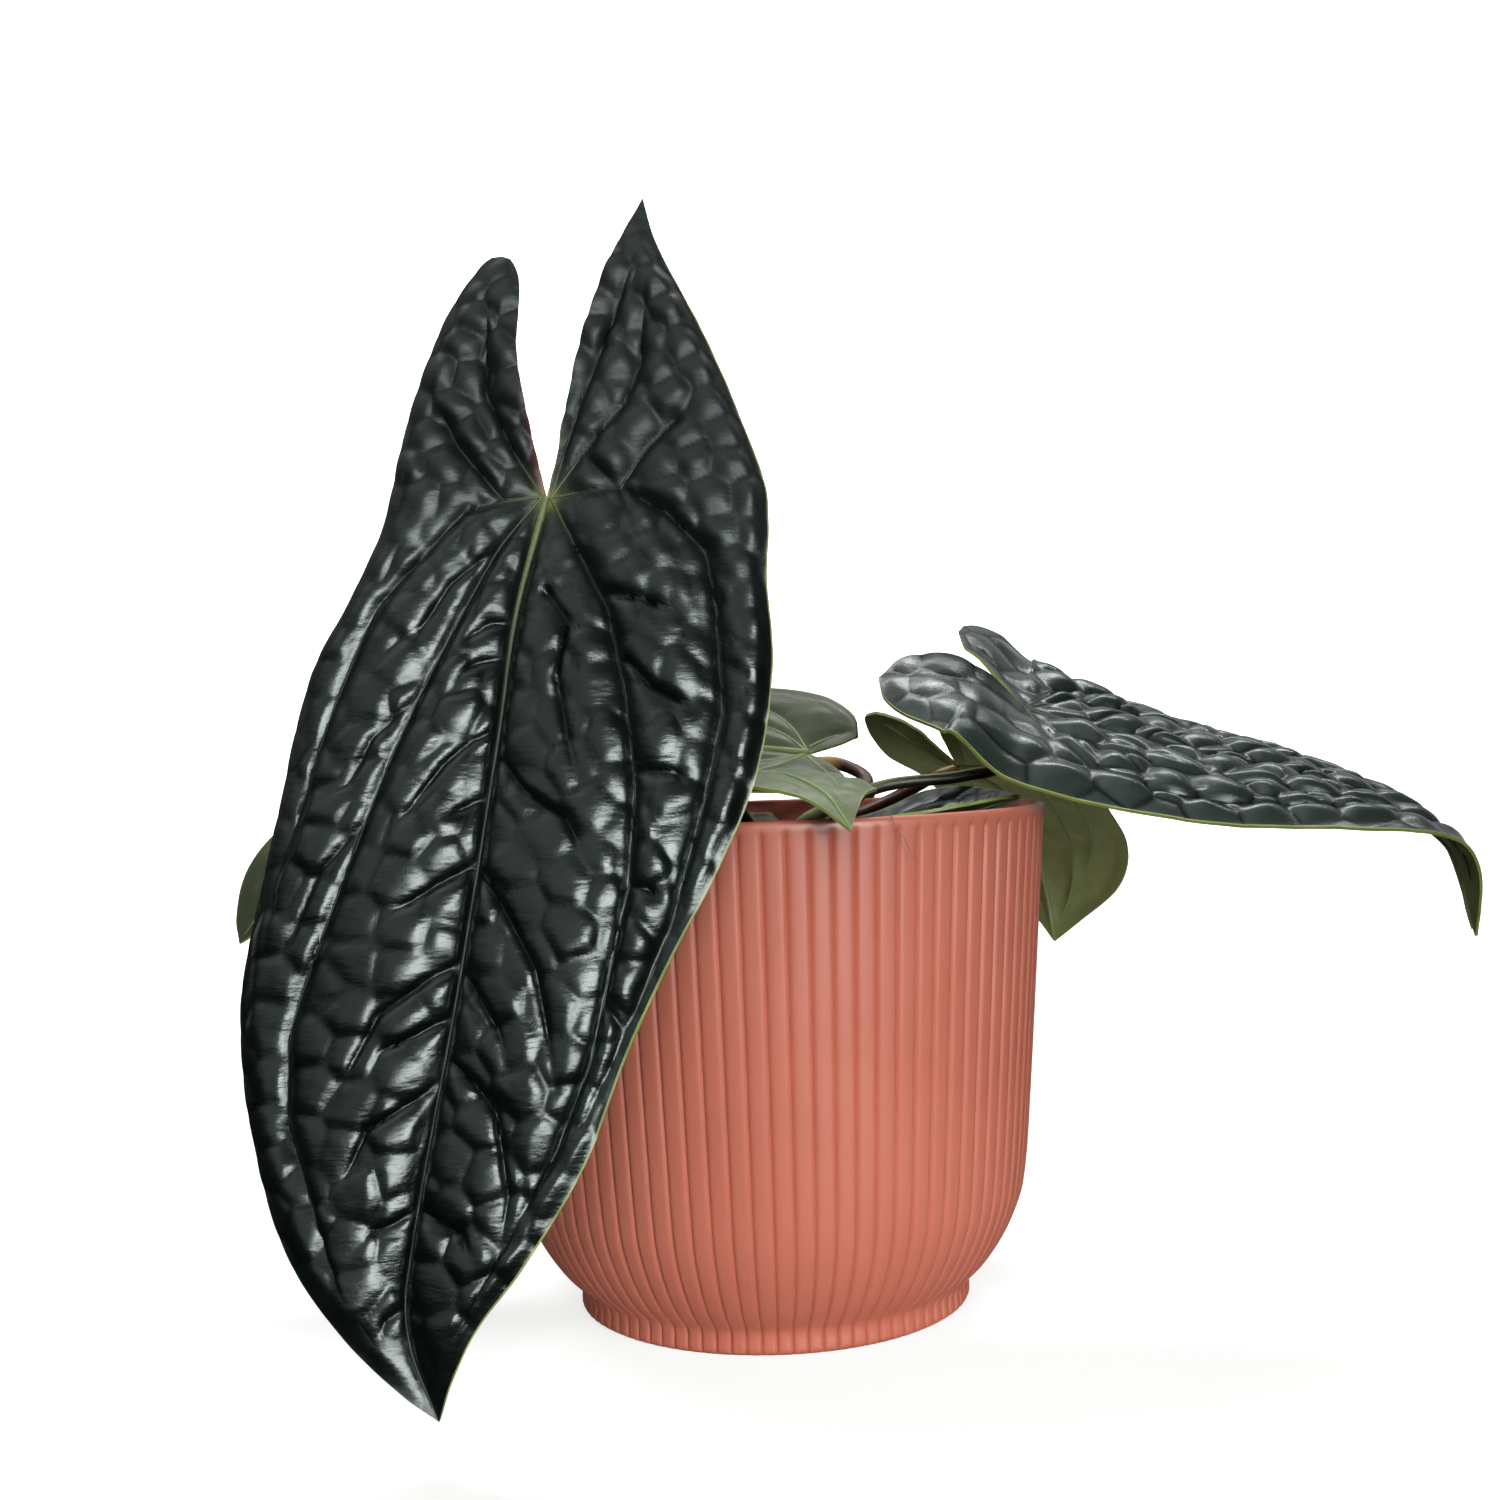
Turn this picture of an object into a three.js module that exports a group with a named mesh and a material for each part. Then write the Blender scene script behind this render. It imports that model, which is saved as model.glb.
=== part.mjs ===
// Potted aroid house plant: a ribbed cover pot filled with soil, a short stem and six leaves.
// Millimetres, +Z up. The origin is the centre of the pot's flat foot, and the plant's front is -Y.
import * as THREE from 'three';

// Pot
const POT_HEIGHT = 125;
const RIM_RADIUS = 72.5;
const RIM_LIP = 2.2;
const FOOT_RADIUS = 49.8;
const FOOT_HEIGHT = 5.8;
const WALL = 2.6;
const FLOOR = 5.5;
const RIB_COUNT = 86;
const RIB_DEPTH = 0.9;
const INNER_SIDES = 43;
const CAP_RADIUS = 20;

// Soil and stem
const SOIL_LEVEL = 111;
const SOIL_LUMP = 1.4;
const SOIL_GAP = 0.4;
const STEM_HOLE_RADIUS = 7.4;
const STEM_HOLE_BOTTOM = 96;
const STEM_RADIUS = 6.9;
const STEM_TOP = 124;
const SEAT_GAP = 0.5;

// Leaves
const BLADE_THICKNESS = 0.8;
const PETIOLE_SIDES = 8;
const PETIOLE_STEPS = 11;
const PETIOLE_BASE = 2.4;
const PETIOLE_RADIUS = 1.8;
const PETIOLE_KNEE = 2.3;

// A leaf is drawn flat first: s runs along the midrib from the notch (0) to the tip, and is negative
// in the two lobes behind the notch; t runs across, negative on the left half seen from above.
// "spine" then places the midrib in space, "across" points to the right half, and "bend" gives
// each half's fold at the midrib (degrees) and its curl (degrees per millimetre).
const FRONT_LEAF = {
  name: 'front_leaf_blade',
  mid: [[0, 0], [28, -2], [54, -1], [106, 0], [170, 0], [182, 3], [195, 11]],
  left: {
    inner: [[-54, -19], [-49, -15], [-40, -13], [-31, -12], [-16, -7], [0, 0]],
    outer: [[-54, -19], [-50, -23], [-36, -29], [-12, -33], [13, -34], [29, -38], [48, -44], [80, -45.5],
      [115, -46], [132, -42], [149, -35], [168, -24], [182, -10], [191, 3], [195, 11]],
  },
  right: {
    inner: [[-74, 10], [-58, 5.5], [-42, 2.5], [-25, 1.2], [-10, 0.8], [0, 0]],
    outer: [[-74, 10], [-63, 15], [-41, 30], [-24, 40], [-8, 48], [12, 51], [31, 55], [55, 55], [76, 50],
      [97, 43], [118, 37], [141, 32], [163, 23], [176, 16], [187, 12.5], [195, 11]],
  },
  spine: [[-74, -32, -54, 269], [-40, -38, -58.5, 236.5], [0, -45, -66, 198], [95, -61.6, -88, 106.5],
    [195, -79, -106, 10.5]],
  across: [[-74, 0.984, 0.05, -0.179], [0, 0.984, 0, -0.179], [195, 0.984, -0.05, -0.179]],
  bend: [[-74, 10, -0.6, 6, -0.3], [0, 12, -0.7, 8, -0.3], [195, 14, -0.9, 8, -0.4]],
  columns: [0, 0.3, 0.58, 0.82, 1],
  deepColumns: [0, 2, 3],
  lobeRows: 7,
  bodyRows: 23,
  sweep: 10,
  relief: 2,
};

const RIGHT_LEAF = {
  name: 'right_leaf_blade',
  mid: [[0, 0], [70, 0], [140, 0]],
  left: {
    inner: [[-41, -21], [-36, -12], [-24, -6], [-10, -3], [0, 0]],
    outer: [[-41, -21], [-38, -30], [-28, -37], [-10, -41], [15, -41], [45, -38], [75, -31], [100, -22],
      [122, -11], [134, -4], [140, 0]],
  },
  right: {
    inner: [[-38, 17], [-33, 9], [-22, 5], [-10, 3], [0, 0]],
    outer: [[-38, 17], [-35, 26], [-26, 34], [-10, 40], [15, 41], [45, 39], [75, 32], [100, 22],
      [122, 11], [134, 4], [140, 0]],
  },
  spine: [[-41, 35, 4, 164.5], [-25, 48, 2, 162], [-12, 58, 1, 157], [0, 69, 0, 148.5], [40, 107, -3, 136.5],
    [80, 145, -7, 126], [112, 172, -11, 112], [140, 178, -15, 88]],
  across: [[-41, 0.1, 0.88, 0.45], [0, 0.1, 0.92, 0.38], [80, 0.1, 0.95, 0.26], [140, 0.1, 0.98, 0.1]],
  bend: [[-41, 14, -0.8, -24, -0.6], [-12, 8, -0.6, 2, -0.5], [20, 4, -0.5, 6, -0.5], [80, 4, -0.6, 6, -0.7],
    [140, 20, -0.9, 12, -0.8]],
  columns: [0, 0.28, 0.56, 0.82, 1],
  deepColumns: [0, 2],
  lobeRows: 4,
  bodyRows: 14,
  sweep: 8,
  relief: 2.2,
};

const BACK_LEAF = {
  name: 'back_leaf_blade',
  mid: [[0, 0], [75, 0]],
  left: {
    inner: [[-27, -12], [-18, -5], [-8, -2], [0, 0]],
    outer: [[-27, -12], [-24, -19], [-10, -26], [10, -28], [30, -29], [46, -30], [60, -23], [70, -8], [75, 0]],
  },
  right: {
    inner: [[-27, 12], [-18, 5], [-8, 2], [0, 0]],
    outer: [[-27, 12], [-24, 19], [-10, 26], [10, 29], [30, 28], [45, 23], [60, 13], [70, 4], [75, 0]],
  },
  spine: [[-27, 41, 35, 148], [0, 57, 50, 134], [20, 71, 63, 126], [42, 81, 74, 110], [60, 86, 79, 94],
    [75, 88, 80, 79]],
  across: [[-27, -0.7, 0.7, 0], [20, -0.7, 0.7, 0], [75, -0.75, 0.65, 0]],
  bend: [[-27, 12, -0.4, 12, -0.4], [75, 8, -0.2, 8, -0.2]],
  columns: [0, 0.5, 1],
  deepColumns: [0],
  lobeRows: 3,
  bodyRows: 7,
  sweep: 8,
  relief: 0.8,
};

const LEFT_LEAF = {
  name: 'left_leaf_blade',
  mid: [[0, 0], [176, 0]],
  left: {
    inner: [[-13, -9], [-9, -5], [0, 0]],
    outer: [[-13, -9], [-11, -17], [0, -25], [20, -29], [60, -29], [100, -26], [135, -20], [160, -13],
      [172, -5], [176, 0]],
  },
  right: {
    inner: [[-13, 11], [-9, 7], [0, 0]],
    outer: [[-13, 11], [-11, 16], [0, 21], [20, 26], [60, 27], [100, 23], [135, 15], [160, 8], [172, 3], [176, 0]],
  },
  spine: [[-13, 26, 34, 136.5], [0, 14, 36, 138.5], [40, -25, 44, 142.5], [88, -70, 50, 138], [132, -111, 45, 122],
    [154, -131, 40, 111], [176, -146, 35, 91]],
  across: [[-13, 0.1, -0.8, -0.6], [20, 0.1, -0.83, -0.5], [70, 0.1, -0.98, -0.12],
    [132, 0.35, -0.85, -0.35], [176, 0.7, -0.5, -0.5]],
  bend: [[-13, 8, -0.3, 8, -0.3], [176, 12, -0.5, 12, -0.5]],
  columns: [0, 0.5, 1],
  deepColumns: [0],
  lobeRows: 2,
  bodyRows: 14,
  sweep: 8,
  relief: 0.8,
};

const SMALL_FRONT_LEAF = {
  name: 'small_front_leaf_blade',
  mid: [[0, 0], [62, 0]],
  left: {
    inner: [[-12, -8], [-8, -4], [0, 0]],
    outer: [[-12, -8], [-10, -13], [0, -17], [12, -19], [28, -17], [42, -11], [54, -4], [62, 0]],
  },
  right: {
    inner: [[-12, 8], [-8, 4], [0, 0]],
    outer: [[-12, 8], [-10, 13], [0, 20], [12, 25], [28, 27], [42, 20], [54, 7], [62, 0]],
  },
  spine: [[-12, -12, -24, 130.5], [0, -8, -33, 132.5], [30, 4, -60, 134.8], [50, 14, -77, 130.5], [62, 19, -85, 123]],
  across: [[-12, 0.9, 0.4, 0], [62, 0.9, 0.4, 0]],
  bend: [[-12, 6, -1.2, 6, -1.2], [62, 6, -2, 4, -1.6]],
  columns: [0, 0.5, 1],
  deepColumns: [0],
  lobeRows: 2,
  bodyRows: 6,
  sweep: 5,
  relief: 0.7,
};

const LOW_LEAF = {
  name: 'low_leaf_blade',
  mid: [[0, 0], [44, 0]],
  left: {
    inner: [[-10, -7], [-6, -3], [0, 0]],
    outer: [[-10, -7], [-8, -14], [2, -20], [14, -22], [28, -18], [38, -8], [44, 0]],
  },
  right: {
    inner: [[-10, 7], [-6, 3], [0, 0]],
    outer: [[-10, 7], [-8, 13], [2, 18], [14, 20], [28, 16], [38, 7], [44, 0]],
  },
  spine: [[-10, 15, -8, 118], [0, 24, -10, 118.5], [14, 38, -14, 119.5], [28, 51, -18, 122], [44, 64, -22, 127]],
  across: [[-10, 0.28, 0.95, 0], [44, 0.3, 0.95, 0]],
  bend: [[-10, 6, 0, 8, 0], [2, 8, 0, 12, 0.1], [16, 10, 0, 24, 0.1], [44, 12, -0.3, 26, 0.1]],
  columns: [0, 0.5, 1],
  deepColumns: [0],
  lobeRows: 2,
  bodyRows: 5,
  sweep: 4,
  relief: 0.7,
};

// Each petiole leaves the stem's side at a compass angle and a height, and passes through these points
const PETIOLES = [
  { name: 'front_leaf_petiole', angle: 215, height: 118,
    through: [[-11, -9, 121], [-24, -34, 148], [-38, -53, 178], [-45.5, -63.7, 195.9]] },
  { name: 'right_leaf_petiole', angle: -12, height: 119.5,
    through: [[13, -3.2, 122.5], [31, -4.5, 130], [52, -2.5, 132], [64, -1, 135], [69.4, 0.2, 146.3]] },
  { name: 'back_leaf_petiole', angle: 62, height: 119,
    through: [[8.5, 12.5, 119.3], [24, 25, 121], [42, 39, 127.5], [50, 45, 131], [55.4, 48.9, 131.8]] },
  { name: 'left_leaf_petiole', angle: 28, height: 115,
    through: [[13, 8, 119], [27, 17, 127.5], [29, 29, 132], [22, 35.2, 135.6], [15.8, 36.4, 135.4]] },
  { name: 'small_front_leaf_petiole', angle: -85, height: 115.5,
    through: [[-0.5, -13, 118], [-5, -23, 125.4], [-8, -31, 129.4]] },
  { name: 'low_leaf_petiole', angle: -32, height: 115,
    through: [[13, -7.6, 115.4], [22.6, -10, 115.3]] },
];

const POT_FINISH = { color: 0xc87063, roughness: 0.5, metalness: 0 };
const SOIL_FINISH = { color: 0x1f1711, roughness: 1, metalness: 0 };
const STEM_FINISH = { color: 0x4c4a26, roughness: 0.7, metalness: 0 };
const DARK_LEAF_FINISH = { color: 0x1c2a25, roughness: 0.35, metalness: 0 };
const GREEN_LEAF_FINISH = { color: 0x6f8263, roughness: 0.5, metalness: 0 };
const PETIOLE_FINISH = { color: 0x5b6332, roughness: 0.5, metalness: 0 };

const RADIANS = Math.PI / 180;

// A smooth curve through a list of [x, a, b, ...] rows, read at x
function through(rows, x) {
  const last = rows.length - 1;
  let i = 0;
  while (i < last - 1 && x > rows[i + 1][0]) {
    i += 1;
  }
  const low = rows[i];
  const high = rows[i + 1];
  const before = rows[Math.max(i - 1, 0)];
  const after = rows[Math.min(i + 2, last)];
  const width = high[0] - low[0];
  const f = (x - low[0]) / width;
  const values = [];
  for (let k = 1; k < low.length; k += 1) {
    const slopeLow = (high[k] - before[k]) / (high[0] - before[0]);
    const slopeHigh = (after[k] - low[k]) / (after[0] - low[0]);
    const rise = high[k] - low[k];
    const a = slopeLow * width - rise;
    const b = rise - slopeHigh * width;
    values.push(low[k] + rise * f + f * (1 - f) * (a * (1 - f) + b * f));
  }
  return values;
}

// A repeatable random number from 0 to 1 for each pair of whole numbers
function scatter(i, j) {
  const value = Math.sin(i * 127.1 + j * 311.7) * 43758.5453;
  return value - Math.floor(value);
}

function signedVolume(points, triangles) {
  let volume = 0;
  for (const [a, b, c] of triangles) {
    volume += points[a].dot(new THREE.Vector3().crossVectors(points[b], points[c]));
  }
  return volume / 6;
}

// A closed mesh from points and triangles, turned so that its faces point out
function solid(name, points, triangles, finish) {
  const inward = signedVolume(points, triangles) < 0;
  const positions = [];
  for (const [a, b, c] of triangles) {
    const corners = inward ? [a, c, b] : [a, b, c];
    for (const corner of corners) {
      positions.push(points[corner].x, points[corner].y, points[corner].z);
    }
  }
  const geometry = new THREE.BufferGeometry();
  geometry.setAttribute('position', new THREE.Float32BufferAttribute(positions, 3));
  geometry.computeVertexNormals();
  const mesh = new THREE.Mesh(geometry, new THREE.MeshStandardMaterial(finish));
  mesh.name = name;
  return mesh;
}

// A horizontal ring of points; shape gives each point's radius and height from its number
function ring(points, count, shape) {
  const indices = [];
  for (let k = 0; k < count; k += 1) {
    const angle = (2 * Math.PI * k) / count;
    const [radius, z] = shape(k);
    indices.push(points.length);
    points.push(new THREE.Vector3(radius * Math.cos(angle), radius * Math.sin(angle), z));
  }
  return indices;
}

// Triangles between two rings, which may have different counts
function bridge(first, second) {
  const triangles = [];
  let i = 0;
  let j = 0;
  while (i < first.length || j < second.length) {
    const nextFirst = (i + 1) / first.length;
    const nextSecond = (j + 1) / second.length;
    const a = first[i % first.length];
    const b = second[j % second.length];
    if (j >= second.length || (i < first.length && nextFirst <= nextSecond)) {
      triangles.push([a, first[(i + 1) % first.length], b]);
      i += 1;
    } else {
      triangles.push([a, second[(j + 1) % second.length], b]);
      j += 1;
    }
  }
  return triangles;
}

// Stacked rings joined into a closed body, with a triangle at each end's centre
function stack(name, points, rings, finish) {
  const first = points[rings[0][0]];
  const last = points[rings[rings.length - 1][0]];
  const endRadius = (end) => Math.min(CAP_RADIUS, Math.hypot(end.x, end.y) * 0.4);
  const firstCap = ring(points, 3, () => [endRadius(first), first.z]);
  const lastCap = ring(points, 3, () => [endRadius(last), last.z]);
  const all = [firstCap, ...rings, lastCap];
  const triangles = [[firstCap[2], firstCap[1], firstCap[0]], lastCap];
  for (let k = 0; k + 1 < all.length; k += 1) {
    triangles.push(...bridge(all[k], all[k + 1]));
  }
  return solid(name, points, triangles, finish);
}

// Pot: convex ribs parted by narrow grooves run from under the lip to the foot; ribs says how deep
function pot() {
  const outside = [
    { radius: FOOT_RADIUS - 0.9, z: 0, ribs: 0.4 },
    { radius: FOOT_RADIUS, z: 1.2, ribs: 1 },
    { radius: FOOT_RADIUS + 0.2, z: FOOT_HEIGHT, ribs: 1 },
    { radius: 54.2, z: 10, ribs: 1 },
    { radius: 58, z: 15, ribs: 1 },
    { radius: 61.6, z: 21.5, ribs: 1 },
    { radius: 64.5, z: 30, ribs: 1 },
    { radius: 66.7, z: 50, ribs: 1 },
    { radius: RIM_RADIUS - 0.1, z: POT_HEIGHT - RIM_LIP - 1, ribs: 1 },
    { radius: RIM_RADIUS, z: POT_HEIGHT - RIM_LIP, ribs: 0 },
    { radius: RIM_RADIUS - 0.4, z: POT_HEIGHT, ribs: 0 },
  ];
  const points = [];
  const rings = outside.map((row) => ring(points, 2 * RIB_COUNT, (k) => {
    const groove = k % 2 === 1 ? RIB_DEPTH * row.ribs : 0;
    return [row.radius - groove, row.z];
  }));
  for (const [radius, z] of insideProfile()) {
    rings.push(ring(points, INNER_SIDES, () => [radius, z]));
  }
  return stack('pot', points, rings, POT_FINISH);
}

// The pot's inner wall from rim to floor, as radius and height
function insideProfile() {
  return [
    [RIM_RADIUS - WALL, POT_HEIGHT],
    [66.7 - WALL, 50],
    [64.3 - WALL, 30],
    [58 - WALL, 16.5],
    [51, 8.5],
    [47, FLOOR],
  ];
}

// Soil fills the pot up to a lumpy top, with a plain hole for the stem
function soil() {
  const points = [];
  const profile = insideProfile().reverse().slice(0, -1);
  const wallRadius = (z) => {
    const top = profile[profile.length - 1];
    return top[0] + ((RIM_RADIUS - WALL - top[0]) * (z - top[1])) / (POT_HEIGHT - top[1]);
  };
  const rings = profile.map(([radius, z]) => ring(points, INNER_SIDES, () => [radius - SOIL_GAP, z + SOIL_GAP]));
  rings.push(ring(points, INNER_SIDES, () => [wallRadius(SOIL_LEVEL) - SOIL_GAP, SOIL_LEVEL - 1]));
  const top = [[59, INNER_SIDES], [46, 30], [32, 22], [19, 16]];
  top.forEach(([radius, count], row) => {
    rings.push(ring(points, count, (k) => {
      const lump = SOIL_LUMP * (scatter(k, row) - 0.5);
      return [radius + 2 * lump, SOIL_LEVEL + lump];
    }));
  });
  rings.push(ring(points, 14, () => [STEM_HOLE_RADIUS, SOIL_LEVEL]));
  rings.push(ring(points, 14, () => [STEM_HOLE_RADIUS, STEM_HOLE_BOTTOM]));
  return stack('soil', points, rings, SOIL_FINISH);
}

// The short stem stands in the soil's hole and narrows to a blunt growing tip
function stem() {
  const profile = [
    [STEM_RADIUS - 0.6, STEM_HOLE_BOTTOM + SEAT_GAP],
    [STEM_RADIUS, 104],
    [STEM_RADIUS, 120.5],
    [3.2, STEM_TOP],
  ];
  const points = [];
  const rings = profile.map(([radius, z]) => ring(points, 14, () => [radius, z]));
  return stack('stem', points, rings, STEM_FINISH);
}

// A petiole is a round stalk, wider at its foot on the stem and at the knee under the blade
function petiole({ name, angle, height, through: route }) {
  const reach = STEM_RADIUS + SEAT_GAP;
  const foot = [reach * Math.cos(angle * RADIANS), reach * Math.sin(angle * RADIANS), height];
  const step = [1.35 * foot[0], 1.35 * foot[1], height + 0.2];
  const curve = new THREE.CatmullRomCurve3([foot, step, ...route].map((p) => new THREE.Vector3(...p)));
  const length = curve.getLength();
  const radii = [[0, PETIOLE_BASE], [Math.min(16, 0.4 * length), PETIOLE_RADIUS],
    [length - 9, PETIOLE_RADIUS], [length, PETIOLE_KNEE]];
  const frames = curve.computeFrenetFrames(PETIOLE_STEPS, false);
  const points = [];
  const triangles = [];
  const rings = [];
  for (let i = 0; i <= PETIOLE_STEPS; i += 1) {
    const centre = curve.getPointAt(i / PETIOLE_STEPS);
    const radius = through(radii, (length * i) / PETIOLE_STEPS)[0];
    const row = [];
    for (let k = 0; k < PETIOLE_SIDES; k += 1) {
      const turn = (2 * Math.PI * k) / PETIOLE_SIDES;
      row.push(points.length);
      points.push(centre.clone()
        .addScaledVector(frames.normals[i], radius * Math.cos(turn))
        .addScaledVector(frames.binormals[i], radius * Math.sin(turn)));
    }
    rings.push(row);
  }
  for (let i = 0; i < PETIOLE_STEPS; i += 1) {
    triangles.push(...bridge(rings[i], rings[i + 1]));
  }
  for (let k = 1; k + 1 < PETIOLE_SIDES; k += 1) {
    triangles.push([rings[0][0], rings[0][k + 1], rings[0][k]]);
    triangles.push([rings[PETIOLE_STEPS][0], rings[PETIOLE_STEPS][k], rings[PETIOLE_STEPS][k + 1]]);
  }
  return solid(name, points, triangles, PETIOLE_FINISH);
}

// Where a point of the flat leaf lies in space, raised by height off the upper face
function placeOnLeaf(leaf, s, t, height) {
  const origin = new THREE.Vector3(...through(leaf.spine, s));
  const ahead = new THREE.Vector3(...through(leaf.spine, s + 1));
  const along = ahead.sub(origin).normalize();
  const side = new THREE.Vector3(...through(leaf.across, s));
  side.addScaledVector(along, -side.dot(along)).normalize();
  const up = new THREE.Vector3().crossVectors(along, side);
  const middle = s > 0 ? through(leaf.mid, s)[0] : 0;
  const distance = Math.abs(t - middle);
  const hand = t < middle ? -1 : 1;
  const [leftFold, leftCurl, rightFold, rightCurl] = through(leaf.bend, s).map((value) => value * RADIANS);
  const fold = hand < 0 ? leftFold : rightFold;
  const curl = hand < 0 ? leftCurl : rightCurl;
  const turn = fold + curl * distance;
  const flat = Math.abs(curl) < 1e-6;
  const outward = flat ? distance * Math.cos(fold) : (Math.sin(turn) - Math.sin(fold)) / curl;
  const upward = flat ? distance * Math.sin(fold) : (Math.cos(fold) - Math.cos(turn)) / curl;
  return origin
    .addScaledVector(side, middle + hand * (outward - height * Math.sin(turn)))
    .addScaledVector(up, upward + height * Math.cos(turn));
}

// The rows of one half: pairs of flat points, the inner on the notch's edge or midrib, the outer on the margin
function halfRows(leaf, half) {
  const lobe = half.inner[0][0];
  const tip = leaf.mid[leaf.mid.length - 1][0];
  const rows = [];
  for (let r = 0; r <= 2 * leaf.lobeRows; r += 1) {
    const f = r / (2 * leaf.lobeRows);
    const inner = lobe * (1 - f);
    const outer = lobe + (leaf.sweep - lobe) * f;
    rows.push([inner, through(half.inner, inner)[0], outer, through(half.outer, outer)[0]]);
  }
  for (let r = 1; r <= 2 * leaf.bodyRows; r += 1) {
    const f = r / (2 * leaf.bodyRows);
    const inner = tip * f;
    const outer = leaf.sweep + (tip - leaf.sweep) * f ** 0.8;
    rows.push([inner, through(leaf.mid, inner)[0], outer, through(half.outer, outer)[0]]);
  }
  return rows;
}

// Height of the raised net's pillows: zero on the veins, highest in the middle of each cell
function pillow(leaf, r, c, width) {
  const middleRow = r % 2 === 1;
  const middleColumn = c % 2 === 1;
  const size = leaf.relief * Math.min(1, width / 18) * (0.7 + 0.6 * scatter(r >> 1, c >> 1));
  if (middleRow && middleColumn) {
    return size;
  }
  if (middleColumn) {
    return 0.3 * size;
  }
  const deep = leaf.deepColumns.includes(c / 2) || c / 2 === leaf.columns.length - 1;
  return middleRow && !deep ? 0.4 * size : 0;
}

// A blade: both halves share the midrib, each lobe ends in a fan, and both faces are split alike
function blade(leaf, finish) {
  const lastColumn = 2 * (leaf.columns.length - 1);
  const lastRow = 2 * (leaf.lobeRows + leaf.bodyRows);
  const middle = [];
  const keys = new Map();
  const upper = [];
  for (const [hand, half] of [[0, leaf.left], [1, leaf.right]]) {
    const rows = halfRows(leaf, half);
    const at = (r, c) => {
      const onMidrib = c === 0 && r >= 2 * leaf.lobeRows;
      const shared = onMidrib || r === lastRow;
      const column = r === 0 || r === lastRow ? 0 : c;
      const key = `${shared ? 'both' : hand} ${r} ${column}`;
      if (!keys.has(key)) {
        const [innerS, innerT, outerS, outerT] = rows[r];
        const left = leaf.columns[Math.floor(column / 2)];
        const right = leaf.columns[Math.ceil(column / 2)];
        const f = (left + right) / 2;
        const height = pillow(leaf, r, column, Math.abs(outerT - innerT));
        const onEnd = r === 0 || r === lastRow;
        keys.set(key, middle.length);
        middle.push(placeOnLeaf(leaf, innerS + (outerS - innerS) * f, innerT + (outerT - innerT) * f,
          onEnd ? 0 : height));
      }
      return keys.get(key);
    };
    for (let r = 0; r < lastRow; r += 1) {
      for (let c = 0; c < lastColumn; c += 1) {
        const quad = [at(r, c), at(r, c + 1), at(r + 1, c + 1), at(r + 1, c)];
        const turned = (r + c) % 2 === 0 ? quad : [...quad.slice(1), quad[0]];
        const halves = [[turned[0], turned[1], turned[2]], [turned[0], turned[2], turned[3]]];
        for (const triangle of halves) {
          if (new Set(triangle).size === 3) {
            upper.push(hand === 0 ? triangle : [triangle[0], triangle[2], triangle[1]]);
          }
        }
      }
    }
  }
  return solid(leaf.name, ...thicken(middle, upper), finish);
}

// Both faces lie half a thickness off the middle surface, and a strip closes the margin
function thicken(middle, upper) {
  const normals = middle.map(() => new THREE.Vector3());
  const open = new Map();
  for (const [a, b, c] of upper) {
    const normal = new THREE.Vector3().crossVectors(
      middle[b].clone().sub(middle[a]), middle[c].clone().sub(middle[a]));
    for (const [from, to] of [[a, b], [b, c], [c, a]]) {
      normals[from].add(normal);
      if (!open.delete(`${to} ${from}`)) {
        open.set(`${from} ${to}`, [from, to]);
      }
    }
  }
  const count = middle.length;
  const offset = (side) => middle.map((point, k) => point.clone()
    .addScaledVector(normals[k].clone().normalize(), (side * BLADE_THICKNESS) / 2));
  const points = [...offset(1), ...offset(-1)];
  const triangles = [...upper, ...upper.map(([a, b, c]) => [a + count, c + count, b + count])];
  for (const [from, to] of open.values()) {
    triangles.push([to, from, from + count], [to, from + count, to + count]);
  }
  return [points, triangles];
}

const plant = new THREE.Group();
plant.add(pot(), soil(), stem());
for (const leaf of [FRONT_LEAF, RIGHT_LEAF, LOW_LEAF]) {
  plant.add(blade(leaf, DARK_LEAF_FINISH));
}
for (const leaf of [BACK_LEAF, LEFT_LEAF, SMALL_FRONT_LEAF]) {
  plant.add(blade(leaf, GREEN_LEAF_FINISH));
}
for (const route of PETIOLES) {
  plant.add(petiole(route));
}

export default plant;
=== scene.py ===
import math

import bmesh
import bpy
import numpy as np
from mathutils import Matrix


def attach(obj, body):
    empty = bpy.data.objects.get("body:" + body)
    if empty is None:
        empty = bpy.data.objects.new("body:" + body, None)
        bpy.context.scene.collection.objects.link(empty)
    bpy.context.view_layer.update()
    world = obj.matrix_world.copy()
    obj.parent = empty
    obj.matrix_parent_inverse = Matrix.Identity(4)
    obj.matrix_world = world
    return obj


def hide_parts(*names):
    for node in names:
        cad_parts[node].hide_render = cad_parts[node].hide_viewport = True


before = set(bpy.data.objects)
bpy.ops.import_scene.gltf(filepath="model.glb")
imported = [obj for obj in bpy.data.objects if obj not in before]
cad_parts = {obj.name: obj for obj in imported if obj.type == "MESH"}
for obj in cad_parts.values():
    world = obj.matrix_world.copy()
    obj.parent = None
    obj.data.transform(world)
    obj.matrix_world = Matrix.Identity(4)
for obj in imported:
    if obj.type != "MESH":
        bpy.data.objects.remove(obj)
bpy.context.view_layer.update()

# Lengths are in millimetres until a mesh is made, and the origin is the centre of the pot's foot.
MM = 0.001
BLADE_THICKNESS = 0.8
RIB_COUNT = 86
RIB_DEPTH = 0.9
STEM_RADIUS = 6.9
SOIL_LEVEL = 111
SOIL_RADIUS = 68.4
LUMP_COUNT = 620
FAR = 1e9

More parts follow.
